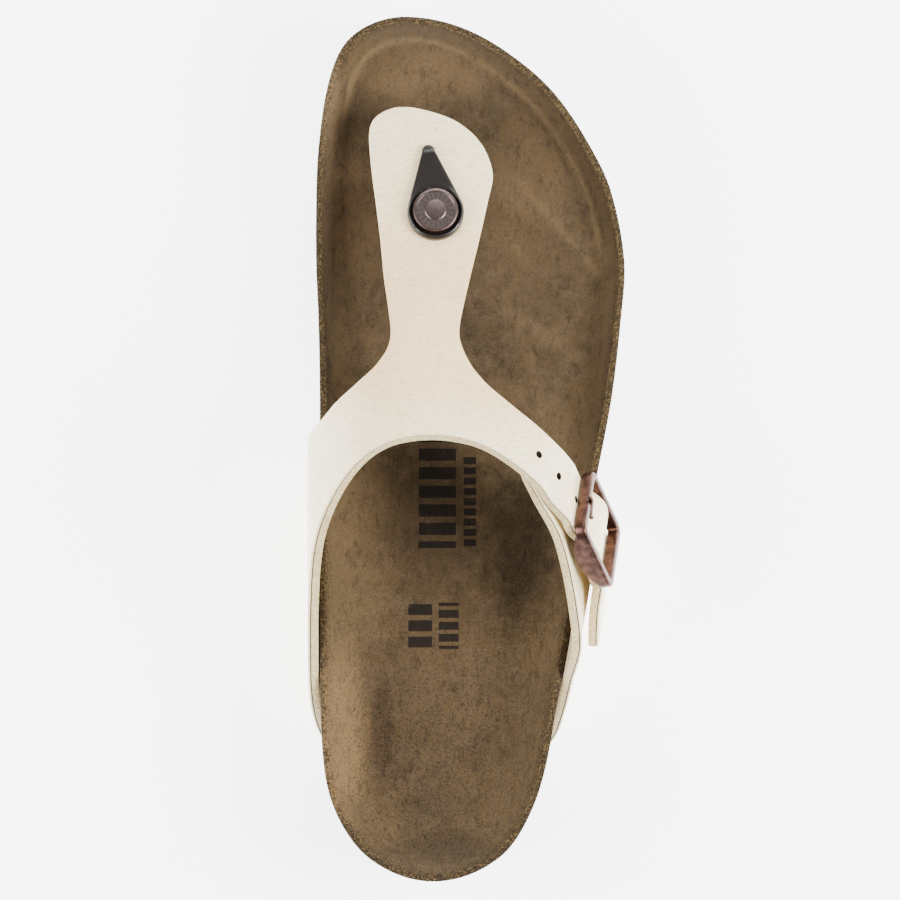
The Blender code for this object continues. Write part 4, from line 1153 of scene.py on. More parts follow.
def side_stations(table):
    """Lines across a strap on the foot surface, from its front edge to its rear edge."""
    return [
        [
            foot_point(
                front_along + (rear_along - front_along) * j / STRAP_COLUMNS,
                front_place + (rear_place - front_place) * j / STRAP_COLUMNS,
            )
            for j in range(STRAP_COLUMNS + 1)
        ]
        for front_along, front_place, rear_along, rear_place in table
    ]


def lasting_row(table_row):
    """Inner end of the margin that is turned in under the cork."""
    front_along, place, rear_along, _ = table_row
    turned_in = math.copysign(3.0, place)
    shorter = 0.02
    return side_stations([(front_along - shorter, turned_in, rear_along + shorter, turned_in)])[0]


def strap_rows(table, higher):
    """Rows of a strap from the sole upwards, thickness of each row, and each station's row."""
    rows, numbers = loft(side_stations(table) + higher)
    rows.insert(0, lasting_row(table[0]))
    numbers = [n + 1 for n in numbers]
    skived_end = numbers[2]
    thickness = []
    for i in range(len(rows)):
        share = min(1.0, max(0.0, (i - 1) / (skived_end - 1)))
        thickness.append(STRAP_SKIVED + (STRAP_THICKNESS - STRAP_SKIVED) * ease(share))
    return rows, thickness, numbers


def longer(row, by):
    """The same row made longer at both ends."""
    front = row[0] + (row[0] - row[1]).normalized() * by
    rear = row[-1] + (row[-1] - row[-2]).normalized() * by
    return [front, *row[1:-1], rear]


def strap_seat(name, rows, thickness, outward):
    """Tool that cuts the seat of a strap's lower edge into the cork."""
    deeper = [a + (a - b).normalized() * GAP for a, b in zip(rows[0], rows[1])]
    grown = [longer(row, GAP) for row in [deeper] + rows[1:]]
    # The lowest rows reach on out of the cork, so that the cut opens its underside and its side
    side = math.copysign(SEAT_OPENING, rows[1][0].x)
    opening = [Vector((0, 0, -SEAT_OPENING)), Vector((side, 0, -SEAT_OPENING)), Vector((side, 0, 0))]
    opening += [Vector((0, 0, 0))] * (len(rows) - 3)
    points = [p + o for row, o in zip(grown, opening) for p in row]
    flat = [t + o.length for t, o in zip(thickness, opening) for _ in rows[0]]
    return thickened(name, points, grid_faces(len(rows), len(rows[0])), flat, outward, GAP)


def buckle_stations():
    """Lines across the T strap in the buckle and down its free end, which has round corners."""
    half = STRAP_TAIL_WIDTH / 2
    clear = END_BAR_DOWN + BUCKLE_BAR_WIDTH
    lines = [(half, *strap_outside(-clear))]
    for share in (-1.0, -0.75, -0.5, -0.25, 0.0, 0.25, 0.5, 0.75, 1.0):
        lines.append((half, *strap_outside(END_BAR_DOWN * share)))
    lines.append((half, *strap_outside(clear)))
    level = lines[-1][2]
    for share, width, out in TAIL:
        lines.append((half * width, clear + TAIL_LENGTH * share, level + out * STRAP_THICKNESS))
    return [
        [in_buckle(reach * (1 - 2 * j / STRAP_COLUMNS), down, out) for j in range(STRAP_COLUMNS + 1)]
        for reach, down, out in lines
    ]


def walk(line, start, distance):
    """Point at a distance along a line from one of its points, and the nearest point's number."""
    step = 1 if distance > 0 else -1
    left, i = abs(distance), start
    while left > (line[i + step] - line[i]).length:
        left -= (line[i + step] - line[i]).length
        i += step
    return line[i] + (line[i + step] - line[i]).normalized() * left, i


def strap_hole_tools(rows, bar_row):
    """Pins that punch the strap's other holes, up and down from the one that the prong is in."""
    line = [row[STRAP_COLUMNS // 2] for row in rows]
    tools = []
    for number in (-3, -2, -1, 1, 2):
        offset = number * STRAP_HOLE_SPACING - END_BAR_DOWN * PRONG_HOLE_SHARE
        point, i = walk(line, bar_row, offset)
        across = (rows[i][0] - rows[i][-1]).normalized()
        normal = across.cross(line[i + 1] - line[i - 1]).normalized()
        reach = normal * 2 * STRAP_THICKNESS
        radius = STRAP_HOLE_DIAMETER / 2
        path = [point - reach, point + reach]
        tools.append(tube_body("strap_hole_tool", path, [radius, radius], 12, across))
    return tools


def prong_rod(name, room):
    """Tapered rod of the prong, from its ring on the centre bar to its tip on the top bar."""
    ring = CENTRE_BAR_DIAMETER / 2 + GAP + LOOP_THICKNESS / 2
    root = PRONG_WIDTH / 2
    tip = PRONG_TIP / 2
    rest = FRAME_HIGH + GAP
    stations = (
        (-ring, BAR_OUT, 0.45 * root),
        (-ring - 0.5 * root, BAR_OUT + root, 0.8 * root),
        (-ring - 1.2 * root, BAR_OUT + 2.0 * root, root),
        (-END_BAR_DOWN, rest, tip),
        (-END_BAR_DOWN - 0.45 * BUCKLE_BAR_WIDTH, rest + 0.2 * tip, tip),
        (-END_BAR_DOWN - 0.65 * BUCKLE_BAR_WIDTH, rest + 0.2 * tip, 0.5 * tip),
    )
    path = [in_buckle(0, down, out) for down, out, _ in stations]
    return tube_body(name, path, [radius + room for _, _, radius in stations], 12, ACROSS)


def tab_point(along_tab, beside):
    """Place on the strap's outside face under the tab, and the outward direction there."""
    line = Vector((math.sin(TAB_TURN), -math.cos(TAB_TURN)))
    plan = post_plan() + line * along_tab + Vector((line.y, -line.x)) * beside
    along = y_to_along(plan.y)
    place = place_of_x(plan.x, along)
    return foot_point(along, place), foot_normal(along, place)


def post_ends():
    """Bottom of the toe post in the cork, and its top inside the tab."""
    plan = post_plan()
    surface = tab_point(0, 0)[0]
    bed = bed_z(plan.x, plan.y) - LINING_THICKNESS - POST_DEPTH
    top = surface.z + GAP + TAB_THICKNESS * 0.6
    return Vector((plan.x, plan.y, bed)), Vector((plan.x, plan.y, top))


def stem_shares():
    """Shares of the length at which the stem has a row, closer together at its round end."""
    shares = []
    for low, high in zip(STEM, STEM[1:]):
        steps = max(3, round((high[0] - low[0]) * LENGTH / ROW_SPACING))
        shares += [low[0] + (high[0] - low[0]) * (k + 1) / steps for k in range(steps)]
    return shares


def laminate(name, points, faces, thickness, outward):
    """Strap with a coated layer, a glue line and felt. points are its coated face."""
    sheet, front = open_sheet(points, faces, outward)
    normals = [v.normal.copy() for v in front]
    back = [sheet.verts.new(v.co - n * t) for v, n, t in zip(front, normals, thickness)]
    runs = []
    for edge in sheet.edges:
        if edge.is_boundary:
            loop = edge.link_loops[0]
            runs.append((loop.vert.index, loop.link_loop_next.vert.index))
    after, before = dict(runs), {b: a for a, b in runs}
    for face in list(sheet.faces):
        far = sheet.faces.new([back[v.index] for v in reversed(face.verts)])
        far.material_index = 2
    inward = {
        k: normals[k].cross(points[after[k]] - points[before[k]]).normalized() for k in after
    }
    edge_rows = []
    for depth, inset, _ in STRAP_EDGE:
        row = {}
        for k in after:
            place = points[k] + inward[k] * inset * MM - normals[k] * thickness[k] * depth
            if depth in (0.0, 1.0):
                row[k] = back[k] if depth else front[k]
                row[k].co = place
            else:
                row[k] = sheet.verts.new(place)
        edge_rows.append(row)
    for number in range(len(STRAP_EDGE) - 1):
        upper, lower = edge_rows[number], edge_rows[number + 1]
        for a, b in runs:
            face = sheet.faces.new([upper[b], upper[a], lower[a], lower[b]])
            face.material_index = STRAP_EDGE[number][2]
    bmesh.ops.triangulate(sheet, faces=sheet.faces)
    return placed(name, bpy.data.meshes.new(name), sheet, 50)


def fair(rows, edge, first, last, passes):
    """Slides one edge of the rows along the sheet so that it runs in an even curve."""
    line = [row[edge] for row in rows[first : last + 1]]
    for _ in range(passes):
        inner = [b + (a + c - 2 * b) / 4 for a, b, c in zip(line, line[1:], line[2:])]
        line = [line[0]] + inner + [line[-1]]
    for row, aim in zip(rows[first : last + 1], line):
        across = (row[edge] - row[-1 - edge]).normalized()
        move = across * (aim - row[edge]).dot(across)
        count = len(row) - 1
        for k in range(len(row)):
            near = 1 - k / count if edge == 0 else k / count
            row[k] = row[k] + move * near


def round_corners(points, faces, corners, reach, passes):
    """Rounds the inner corners of a sheet on the foot, and evens its points around them."""
    sides = [tuple(sorted(pair)) for f in faces for pair in zip(f, f[1:] + f[:1])]
    links, border = {}, {}
    for a, b in sides:
        for one, two in ((a, b), (b, a)):
            links.setdefault(one, set()).add(two)
    for (a, b), count in Counter(sides).items():
        if count == 1:
            border.setdefault(a, []).append(b)
            border.setdefault(b, []).append(a)
    near = {
        k: max(0.0, 1 - min((points[k] - points[c]).length for c in corners) / reach)
        for k in links
    }
    near = {k: ease(share) for k, share in near.items() if share > 0}
    for _ in range(passes):
        aims = {}
        for k in near:
            others = border.get(k) or sorted(links[k])
            aims[k] = sum((points[n] for n in others), Vector()) / len(others)
        for k, aim in aims.items():
            place = points[k].lerp(aim, 0.5 * near[k])
            along = y_to_along(place.y)
            points[k] = foot_point(along, place_of_x(place.x, along))


def rivet_hole():
    """Tool for the rivet's hole in the strap and the tab."""
    surface, normal = tab_point(TAB_REACH, 0)
    radius = RIVET_DIAMETER / 2 + GAP
    path = [surface - normal * 2 * STRAP_THICKNESS, surface + normal * 2 * STRAP_THICKNESS]
    return tube_body("rivet_hole_tool", path, [radius, radius], 24, Vector((1, 0, 0)))


def joined(name, tools):
    """One object from several tools that lie apart."""
    points, faces = [], []
    for tool in tools:
        first = len(points)
        points += [v.co.copy() for v in tool.data.vertices]
        faces += [[first + k for k in face.vertices] for face in tool.data.polygons]
        bpy.data.objects.remove(tool)
    return new_object(name, points, faces)


def cut(strap, tools):
    """Cuts holes whose walls take the dark glue colour, as painted shade inside the holes."""
    for tool in tools:
        for face in tool.data.polygons:
            # The cut walls take the dark glue colour: painted shade in the holes
            face.material_index = 1
        combine(strap, tool, "DIFFERENCE")
    return settle(strap, *tools)


below = Vector((0, 0, -1))
rows, thickness, stations = strap_rows(T_STRAP, buckle_stations())
rows = [list(row) for row in rows]
to_buckle = stations[len(T_STRAP)]
fair(rows, 0, stations[1], stations[STEM_FROM], T_STRAP_FAIRING)
fair(rows, 0, stations[STEM_TO], to_buckle, T_STRAP_FAIRING)
fair(rows, STRAP_COLUMNS, stations[1], to_buckle, T_STRAP_FAIRING)
points = [p for row in rows for p in row]
faces = grid_faces(len(rows), STRAP_COLUMNS + 1)
depths = [t for t in thickness for _ in rows[0]]

# The stem's first row is the front edge of the arms between the two corners of the T
base = [row * (STRAP_COLUMNS + 1) for row in range(stations[STEM_FROM], stations[STEM_TO] + 1)]
previous = base
for along in stem_shares():
    medial, lateral = column(STEM, 1, along) * BALL_WIDTH, column(STEM, 2, along) * BALL_WIDTH
    current = []
    for k in range(len(base)):
        x = medial + (lateral - medial) * k / (len(base) - 1)
        current.append(len(points))
        points.append(foot_point(along, place_of_x(x, along)))
        depths.append(STRAP_THICKNESS)
    for k in range(len(base) - 1):
        faces.append((previous[k], previous[k + 1], current[k + 1], current[k]))
    previous = current

round_corners(points, faces, (base[0], base[-1]), T_CORNER_REACH, T_CORNER_PASSES)
t_strap = laminate("t_strap", points, faces, depths, below)
bar_row = stations[len(T_STRAP) + 5]
punched = joined("strap_holes_tool", strap_hole_tools(rows, bar_row))
post_top = post_ends()[1].z
through_strap = post_hole(post_top - 4 * STRAP_THICKNESS, post_top + STRAP_THICKNESS)
cut(t_strap, [punched, through_strap, rivet_hole(), prong_rod("prong_room_tool", GAP)])
low = stations[2] + 1
seat = strap_seat("t_strap_seat_tool", rows[:low], thickness[:low], below)
settle(combine(cork, seat, "DIFFERENCE"), seat)

# Pearl-coated PVC: cream with a soft gloss and a fine crinkle whose streaks are painted darker, as painted
# shade in its folds.
# A beige band over the T's middle is painted shade where the strap slopes towards the toe. The crinkle is
# drawn 1.1 mm wide.
coat, tree, shader, place = new_finish(
    "pearl_coated_pvc", Roughness=0.36, Coat_Weight=0.25, Coat_Roughness=0.3
)
haze = add(tree, "TexNoise", {"Vector": place, "Scale": 1 / (26 * MM), "Detail": 3.0})
haze_share = add(tree, "MapRange", {"Value": (haze, "Fac"), "From Min": 0.35, "From Max": 0.7})
cream = add(
    tree, "Mix", {0: (haze_share, "Result"), 6: linear("#f8e9c0"), 7: linear("#f1dcac")},
    data_type="RGBA"
)
axes = add(tree, "SeparateXYZ", {"Vector": place})
toeward = add(
    tree, "MapRange", {"Value": (axes, "Y"), "From Min": 100 * MM, "From Max": 125 * MM},
    interpolation_type="SMOOTHSTEP"
)
past = add(
    tree, "MapRange", {"Value": (axes, "Y"), "From Min": 150 * MM, "From Max": 185 * MM,
    "To Min": 0.8, "To Max": 0.0}, interpolation_type="SMOOTHSTEP"
)
painted_shade_share = add(tree, "Math", {0: (toeward, "Result"), 1: (past, "Result")}, operation="MULTIPLY")
# Beige where the T's middle slopes towards the toe: painted shade
cream_and_painted_shade = add(
    tree, "Mix", {0: (painted_shade_share, 0), 6: (cream, 2), 7: linear("#ecc48e")}, data_type="RGBA"
)
grain_place = add(tree, "VectorMath", {0: place, 1: (1.0, 2.1, 1.0)}, operation="MULTIPLY")
crinkle_streaks = add(
    tree, "TexNoise", {"Vector": (grain_place, "Vector"), "Scale": 1 / (1.8 * MM), "Detail": 5.0,
    "Roughness": 0.65, "Distortion": 0.8}
)
pits = add(
    tree, "TexVoronoi", {"Vector": place, "Scale": 1 / (1.1 * MM)}, feature="DISTANCE_TO_EDGE"
)
# Streaks of the crinkle painted darker: painted shade in the coat's folds
crease_shade_share = add(
    tree, "MapRange", {"Value": (crinkle_streaks, "Fac"), "From Min": 0.50, "From Max": 0.68, "To Max": 0.55}
)
crinkle_with_painted_shade = add(
    tree, "Mix", {0: (crease_shade_share, "Result"), 6: (cream_and_painted_shade, 2), 7: linear("#b89c6c")}, data_type="RGBA"
)
tree.links.new(crinkle_with_painted_shade.outputs[2], shader.inputs["Base Color"])
crinkle = add(
    tree, "Math", {0: (pits, "Distance"), 1: 0.5, 2: (crinkle_streaks, "Fac")}, operation="MULTIPLY_ADD"
)
bumps = add(tree, "Bump", {"Strength": 0.6, "Distance": 0.15 * MM, "Height": (crinkle, 0)})
tree.links.new(bumps.outputs["Normal"], shader.inputs["Normal"])

# Dried glue between coat and felt: a thin grey line. The same dark colour on the walls of holes cut in the
# straps is painted shade.
glue_and_hole_shade = new_finish("glue_line_and_painted_hole_shade", Base_Color=linear("#2b251d"), Roughness=0.7)[0]

# Pressed felt: cream, matt, with loose fibres and a few dark flecks
felt, tree, shader, place = new_finish("cream_felt", Roughness=0.95, Sheen_Weight=0.3, Sheen_Roughness=0.5)
tufts = add(
    tree, "TexNoise", {"Vector": place, "Scale": 1 / (0.7 * MM), "Detail": 5.0, "Roughness": 0.7}
)
tuft_share = add(tree, "MapRange", {"Value": (tufts, "Fac"), "From Min": 0.35, "From Max": 0.65})
wool = add(
    tree, "Mix", {0: (tuft_share, "Result"), 6: linear("#a68c5c"), 7: linear("#e3d09f")},
    data_type="RGBA"
)
fleck = add(
    tree, "TexNoise", {"Vector": place, "Scale": 1 / (0.8 * MM), "Detail": 1.0, "Roughness": 0.4}
)
fleck_share = add(
    tree, "MapRange", {"Value": (fleck, "Fac"), "From Min": 0.70, "From Max": 0.76, "To Max": 0.5}
)
flecked = add(
    tree, "Mix", {0: (fleck_share, "Result"), 6: (wool, 2), 7: linear("#5d4e36")}, data_type="RGBA"
)
tree.links.new(flecked.outputs[2], shader.inputs["Base Color"])
fluff = add(tree, "Bump", {"Strength": 0.6, "Distance": 0.25 * MM, "Height": (tufts, "Fac")})
tree.links.new(fluff.outputs["Normal"], shader.inputs["Normal"])
wear(t_strap, "upper_t_strap", coat, glue_and_hole_shade, felt)

# Side strap
# The same coated felt. It is lasted under the outer side of the cork, carries the buckle and
# ends in a tongue under the T strap.

# Lower rows lie on the side of the foot, as in T_STRAP
SIDE_STRAP_LOW = [
    # front along, front round, rear along, rear round
    (0.426, 2.00, 0.150, 2.00),
    (0.430, 1.75, 0.153, 1.72),
    (0.435, 1.50, 0.164, 1.50),
    (0.440, 1.20, 0.196, 1.14),
    (0.443, 1.00, 0.232, 1.00),
]
# Upper rows lie by the buckle's plane. across, down: shares of the buckle's length and height
# from its middle. out, and middle in: shares of STRAP_THICKNESS from the plane.
SIDE_STRAP_HIGH = [
    # front across, front down, front out, rear across, rear down, rear out, middle in
    (0.820, 0.110, 1.55, -0.910, 0.970, -1.55, 0.65),
    (0.680, -0.030, 0.32, -0.800, 0.560, -0.65, 0.25),
    (0.530, -0.270, 0.00, -0.630, 0.020, -0.05, 0.05),
    (0.440, -0.450, -0.05, -0.430, -0.420, -0.05, 0.05),
    (0.400, -0.700, -0.35, -0.240, -0.790, -1.15, 0.00),
    (0.330, -0.950, -0.85, -0.060, -1.000, -2.00, 0.00),
    (0.220, -1.070, -1.55, 0.040, -1.090, -2.15, 0.00),
]

higher = []
for front_across, front_down, front_out, rear_across, rear_down, rear_out, dip in SIDE_STRAP_HIGH:
    row = []
    for j in range(STRAP_COLUMNS + 1):
        u = j / STRAP_COLUMNS
        across = front_across + (rear_across - front_across) * u
        down = front_down + (rear_down - front_down) * u
        out = front_out + (rear_out - front_out) * u - 4 * dip * u * (1 - u)
        row.append(in_buckle(across * BUCKLE_LENGTH, down * BUCKLE_HEIGHT, out * STRAP_THICKNESS))
    higher.append(row)
rows, thickness, stations = strap_rows(SIDE_STRAP_LOW, higher)
rows = [list(row) for row in rows]
for edge in (0, STRAP_COLUMNS):
    fair(rows, edge, stations[1], len(rows) - 1, SIDE_STRAP_FAIRING)
points = [p for row in rows for p in row]
depths = [t for t in thickness for _ in rows[0]]
faces = grid_faces(len(rows), STRAP_COLUMNS + 1)
side_strap = laminate("buckle_strap", points, faces, depths, below)
wear(side_strap, "side_strap", coat, glue_and_hole_shade, felt)
low = stations[2] + 1
seat = strap_seat("side_strap_seat_tool", rows[:low], thickness[:low], below)
settle(combine(cork, seat, "DIFFERENCE"), seat)

# Buckle loop
# A strip of the same coat, folded round the centre bar and sewn to the side strap under the
# T strap, with a slot for the prong.

LOOP_WIDTH = 12 * MM
LOOP_REACH = 6.5 * MM
LOOP_ARC_STEPS = 24
LOOP_COLUMNS = 6
PRONG_SIDES = 32

inner = CENTRE_BAR_DIAMETER / 2 + GAP
outer = inner + LOOP_THICKNESS
low_face = BAR_OUT - outer
high_face = low_face + 2 * LOOP_THICKNESS + GAP
slot = PRONG_WIDTH / 2 + GAP
path = [(LOOP_REACH, low_face), (0.7 * LOOP_REACH, low_face), (outer + GAP, low_face)]
for k in range(LOOP_ARC_STEPS + 1):
    angle = math.radians(-90 - 180 * k / LOOP_ARC_STEPS)
    path.append((outer * math.cos(angle), BAR_OUT + outer * math.sin(angle)))
path.append((0.6 * outer, BAR_OUT + 0.7 * outer))
path += [(outer + GAP, high_face + GAP), (0.68 * LOOP_REACH, high_face)]
columns = [-LOOP_WIDTH / 2 + (LOOP_WIDTH / 2 - slot) * k / LOOP_COLUMNS for k in range(LOOP_COLUMNS + 1)]
columns += [-c for c in reversed(columns)]
points = [in_buckle(across, down, out) for down, out in path for across in columns]
faces = []
for i in range(len(path) - 1):
    in_slot = max(path[i][0], path[i + 1][0]) <= outer + 2 * GAP
    for j in range(len(columns) - 1):
        if not (j == LOOP_COLUMNS and in_slot):
            first = i * len(columns) + j
            faces.append((first, first + 1, first + 1 + len(columns), first + len(columns)))
loop = thickened("bar_loop", points, faces, [LOOP_THICKNESS] * len(points), -OUT)
wear(loop, "buckle_loop", coat)

# Buckle frame
# Zinc, cast in one with its centre bar, tumbled, plated with antique copper and brushed back
# so that the edges shine. The side bars bow in to hold the centre bar.

# Radius of the corners of a bar's section, and the steps in each and in the frame's outline
BAR_CORNER = 0.75 * MM
CORNER_STEPS = 4
FRAME_CORNER_STEPS = 10
FRAME_SIDE_STEPS = 28


def frame_outline(inset):
    """Rounded rectangle in the buckle's plane, with points along its side bars."""
    half_length, half_height = BUCKLE_LENGTH / 2 - inset, BUCKLE_HEIGHT / 2 - inset
    radius = max(BUCKLE_CORNER - inset, 0.45 * MM)
    points = []
    for side, end, start in ((1, 1, 0), (-1, 1, 90), (-1, -1, 180), (1, -1, 270)):
        for k in range(FRAME_CORNER_STEPS + 1):
            angle = math.radians(start + 90 * k / FRAME_CORNER_STEPS)
            across = side * (half_length - radius) + radius * math.cos(angle)
            points.append((across, end * (half_height - radius) + radius * math.sin(angle)))
        if start in (90, 270):
            straight = half_height - radius
            for k in range(1, FRAME_SIDE_STEPS):
                share = 1 - 2 * k / FRAME_SIDE_STEPS
                points.append((side * half_length, end * straight * share))
    return points


def low_at(down):
    """Lower face of the frame, which reaches the centre bar half way down."""
    bar_low = BAR_OUT - CENTRE_BAR_DIAMETER / 2 - 0.45 * MM
    bow = max(0.0, 1 - (down / STRAP_HUMP) ** 2)
    return FRAME_LOW + (bar_low - FRAME_LOW) * bow


section = []
for outside, high in ((True, False), (True, True), (False, True), (False, False)):
    for k in range(CORNER_STEPS + 1):
        angle = math.pi / 2 * k / CORNER_STEPS
        if outside != high:
            angle = math.pi / 2 - angle
        off_side = BAR_CORNER * (1 - math.sin(angle))
        off_face = BAR_CORNER * (1 - math.cos(angle))
        inset = off_face if outside else BUCKLE_BAR_WIDTH - off_face
        section.append((inset, high, off_side))
points, faces = [], []
for inset, high, taken_off in section:
    for across, down in frame_outline(inset):
        out = FRAME_HIGH - taken_off if high else low_at(down) + taken_off
        points.append(in_buckle(across, down, out))
count = len(points) // len(section)
for k in range(len(section)):
    faces += band(k * count, (k + 1) % len(section) * count, count)
buckle = new_object("cast_buckle", points, faces)
reach = (BUCKLE_LENGTH - BUCKLE_BAR_WIDTH) / 2
ends = [in_buckle(side * reach, 0, BAR_OUT) for side in (-1, 1)]
radius = CENTRE_BAR_DIAMETER / 2
centre_bar = tube_body("centre_bar_tool", ends, [radius, radius], 24, DOWN)
combine(buckle, centre_bar, "UNION")
notch = prong_rod("prong_room_tool", GAP)
settle(combine(buckle, notch, "DIFFERENCE"), centre_bar, notch)

# Antique copper plate on zinc: warm brown, half dull, paler where brushing has cut through
# to the copper. The brushing runs along the bars and is drawn 0.25 mm wide.
copper, tree, shader, place = new_finish("antique_copper_plate", Metallic=1.0, Roughness=0.34)
patina = add(
    tree, "TexNoise", {"Vector": place, "Scale": 1 / (2.5 * MM), "Detail": 5.0, "Roughness": 0.6}
)
patina_share = add(tree, "MapRange", {"Value": (patina, "Fac"), "From Min": 0.35, "From Max": 0.68})
plate = add(
    tree, "Mix", {0: (patina_share, "Result"), 6: linear("#3a2923"), 7: linear("#654840")},
    data_type="RGBA"
)
tree.links.new(plate.outputs[2], shader.inputs["Base Color"])
scratch = add(tree, "TexNoise", {"Vector": place, "Scale": 1 / (0.25 * MM), "Detail": 2.0})
brushed = add(tree, "Bump", {"Strength": 0.15, "Distance": 0.05 * MM, "Height": (scratch, "Fac")})
tree.links.new(brushed.outputs["Normal"], shader.inputs["Normal"])
wear(buckle, "buckle_frame", copper)

# Buckle prong
# A bent wire of the same plated zinc, whose ring turns on the centre bar. It goes up through
# the strap's hole and lies in the notch of the top bar.

inner = CENTRE_BAR_DIAMETER / 2 + GAP
outer = inner + LOOP_THICKNESS
points, faces = [], []
for across, radius in (
    (-0.5, inner),
    (-0.5, outer - 0.2 * MM),
    (-0.3, outer),
    (0.3, outer),
    (0.5, outer - 0.2 * MM),
    (0.5, inner),
):
    for k in range(PRONG_SIDES):
        angle = 2 * math.pi * k / PRONG_SIDES
        down, out = radius * math.cos(angle), BAR_OUT + radius * math.sin(angle)
        points.append(in_buckle(across * PRONG_WIDTH, down, out))
for k in range(6):
    faces += band(k * PRONG_SIDES, (k + 1) % 6 * PRONG_SIDES, PRONG_SIDES)
prong = new_object("prong", points, faces)
rod = prong_rod("prong_rod_tool", 0.0)
settle(combine(prong, rod, "UNION"), rod)
wear(prong, "buckle_prong", copper)

# Toe post
# Dark brown plastic, moulded in one: a post that is set in the cork, and a teardrop tab that
# lies on the strap, with a raised lip round the rivet's cap.

CAP_DIAMETER = 13.4 * MM
CAP_HEIGHT = 1.7 * MM
CAP_EDGE_ROUND = 0.4 * MM
WASHER_DIAMETER = 9 * MM
WASHER_THICKNESS = 0.9 * MM
LIP_RADIUS = 7.7 * MM
LIP_HALF_WIDTH = 0.55 * MM
LIP_HEIGHT = 0.5 * MM
WELL_RADIUS = 6.95 * MM
WELL_DEPTH = 0.45 * MM
TIP_BEND = 2.6 * MM
TAB_EDGE_ROUND = 0.6 * MM
TAB_COLUMNS = 44

small, large = POST_DIAMETER / 2, TAB_DIAMETER / 2
slope = math.asin((large - small) / TAB_REACH)


def from_edge(along_tab, beside):
    """Distance of a place on the tab from the tab's edge."""
    if along_tab < -small * math.sin(slope):
        return small - math.hypot(along_tab, beside)
    if along_tab > TAB_REACH - large * math.sin(slope):
        return large - math.hypot(along_tab - TAB_REACH, beside)
    side = (small + along_tab * math.sin(slope)) / math.cos(slope)
    return (side - abs(beside)) * math.cos(slope)


def tab_height(along_tab, beside):
    """Outer face of the tab above the strap: round edge, lip, well for the cap, bent tip."""
    radius = math.hypot(along_tab - TAB_REACH, beside)
    round_end = ease((along_tab - TAB_REACH + 8 * MM) / (6 * MM))
    lip = LIP_HEIGHT * hump(radius - LIP_RADIUS, LIP_HALF_WIDTH) * round_end
    well = WELL_DEPTH * (1 - ease((radius - WELL_RADIUS) / (0.4 * MM)))
    bend = 0.22 * MM * max(0.0, (TIP_BEND - along_tab) / (TIP_BEND + small)) ** 2
    share = 1 - min(1.0, max(0.0, from_edge(along_tab, beside)) / TAB_EDGE_ROUND)
    rounded = TAB_EDGE_ROUND * (1 - math.sqrt(1 - share**2))
    pinch = 0.28 * MM * hump(along_tab - 1.0 * MM, 0.5 * MM) * min(1.0, (1 - share) * 2)
    return GAP + TAB_THICKNESS + lip + pinch - well - bend - rounded


def slab(name, over, under, columns):
    """Closed solid between two grids of points of the same size."""
    rows, count = len(over) // columns, len(over)
    faces = grid_faces(rows, columns)
    faces += [tuple(k + count for k in reversed(face)) for face in faces]
    border = list(range(columns))
    border += [row * columns + columns - 1 for row in range(1, rows)]
    border += [count - 1 - k for k in range(1, columns)]
    border += [row * columns for row in range(rows - 2, 0, -1)]
    for a, b in zip(border, border[1:] + border[:1]):
        faces.append((a, b, b + count, a + count))
    return new_object(name, over + under, faces)


outline = []
for k in range(9):
    angle = math.radians(70) + (slope - math.radians(70)) * k / 8
    outline.append((-small * math.sin(angle), small * math.cos(angle)))
start, end = outline[-1], (TAB_REACH - large * math.sin(slope), large * math.cos(slope))
for k in range(1, 20):
    outline.append(tuple(a + (b - a) * k / 20 for a, b in zip(start, end)))
for k in range(41):
    angle = slope - (slope + math.radians(84)) * k / 40
    outline.append((TAB_REACH - large * math.sin(angle), large * math.cos(angle)))
over, under = [], []
for along_tab, half in outline:
    for j in range(TAB_COLUMNS + 1):
        beside = half * (2 * j / TAB_COLUMNS - 1)
        surface, normal = tab_point(along_tab, beside)
        over.append(surface + normal * tab_height(along_tab, beside))
        under.append(surface + normal * GAP)
tab = slab("toe_post_tab", over, under, TAB_COLUMNS + 1)
# The post meets the tab from below, just inside the tab's edge
bottom, top = post_ends()
post_path = [bottom, top - Vector((0, 0, 0.8 * MM))]
post = tube_body("post_tool", post_path, [0.85 * small, 0.94 * small], 28, Vector((1, 0, 0)))
combine(tab, post, "UNION")
hole = rivet_hole()
settle(combine(tab, hole, "DIFFERENCE"), post, hole)

# Moulded nylon: near black brown with a satin skin and faint flow marks
nylon, tree, shader, place = new_finish("moulded_brown_nylon", Roughness=0.3)
flow = add(tree, "TexNoise", {"Vector": place, "Scale": 1 / (1.6 * MM), "Detail": 3.0})
brown = add(
    tree, "Mix", {0: (flow, "Fac"), 6: linear("#100d0b"), 7: linear("#1b1512")}, data_type="RGBA"
)
tree.links.new(brown.outputs[2], shader.inputs["Base Color"])
skin = add(tree, "Bump", {"Strength": 0.12, "Distance": 0.05 * MM, "Height": (flow, "Fac")})
tree.links.new(skin.outputs["Normal"], shader.inputs["Normal"])
wear(tab, "toe_post", nylon)

# Rivet
# A turned cap and shank that clamp the tab to the strap, with a washer behind. The cap's
# ring has plain raised ticks round a flat middle.

TICKS = 20
RIVET_STEPS = 64
RECESS_DEPTH = 0.22 * MM
TICK_HALF_ANGLE = math.radians(3.4)
TICK_INNER, TICK_OUTER = 3.5 * MM, 5.4 * MM
seat_height = GAP + TAB_THICKNESS - WELL_DEPTH + GAP
cap_top = GAP + TAB_THICKNESS + GAP + CAP_HEIGHT
back = -STRAP_THICKNESS - GAP
half_cap = CAP_DIAMETER / 2
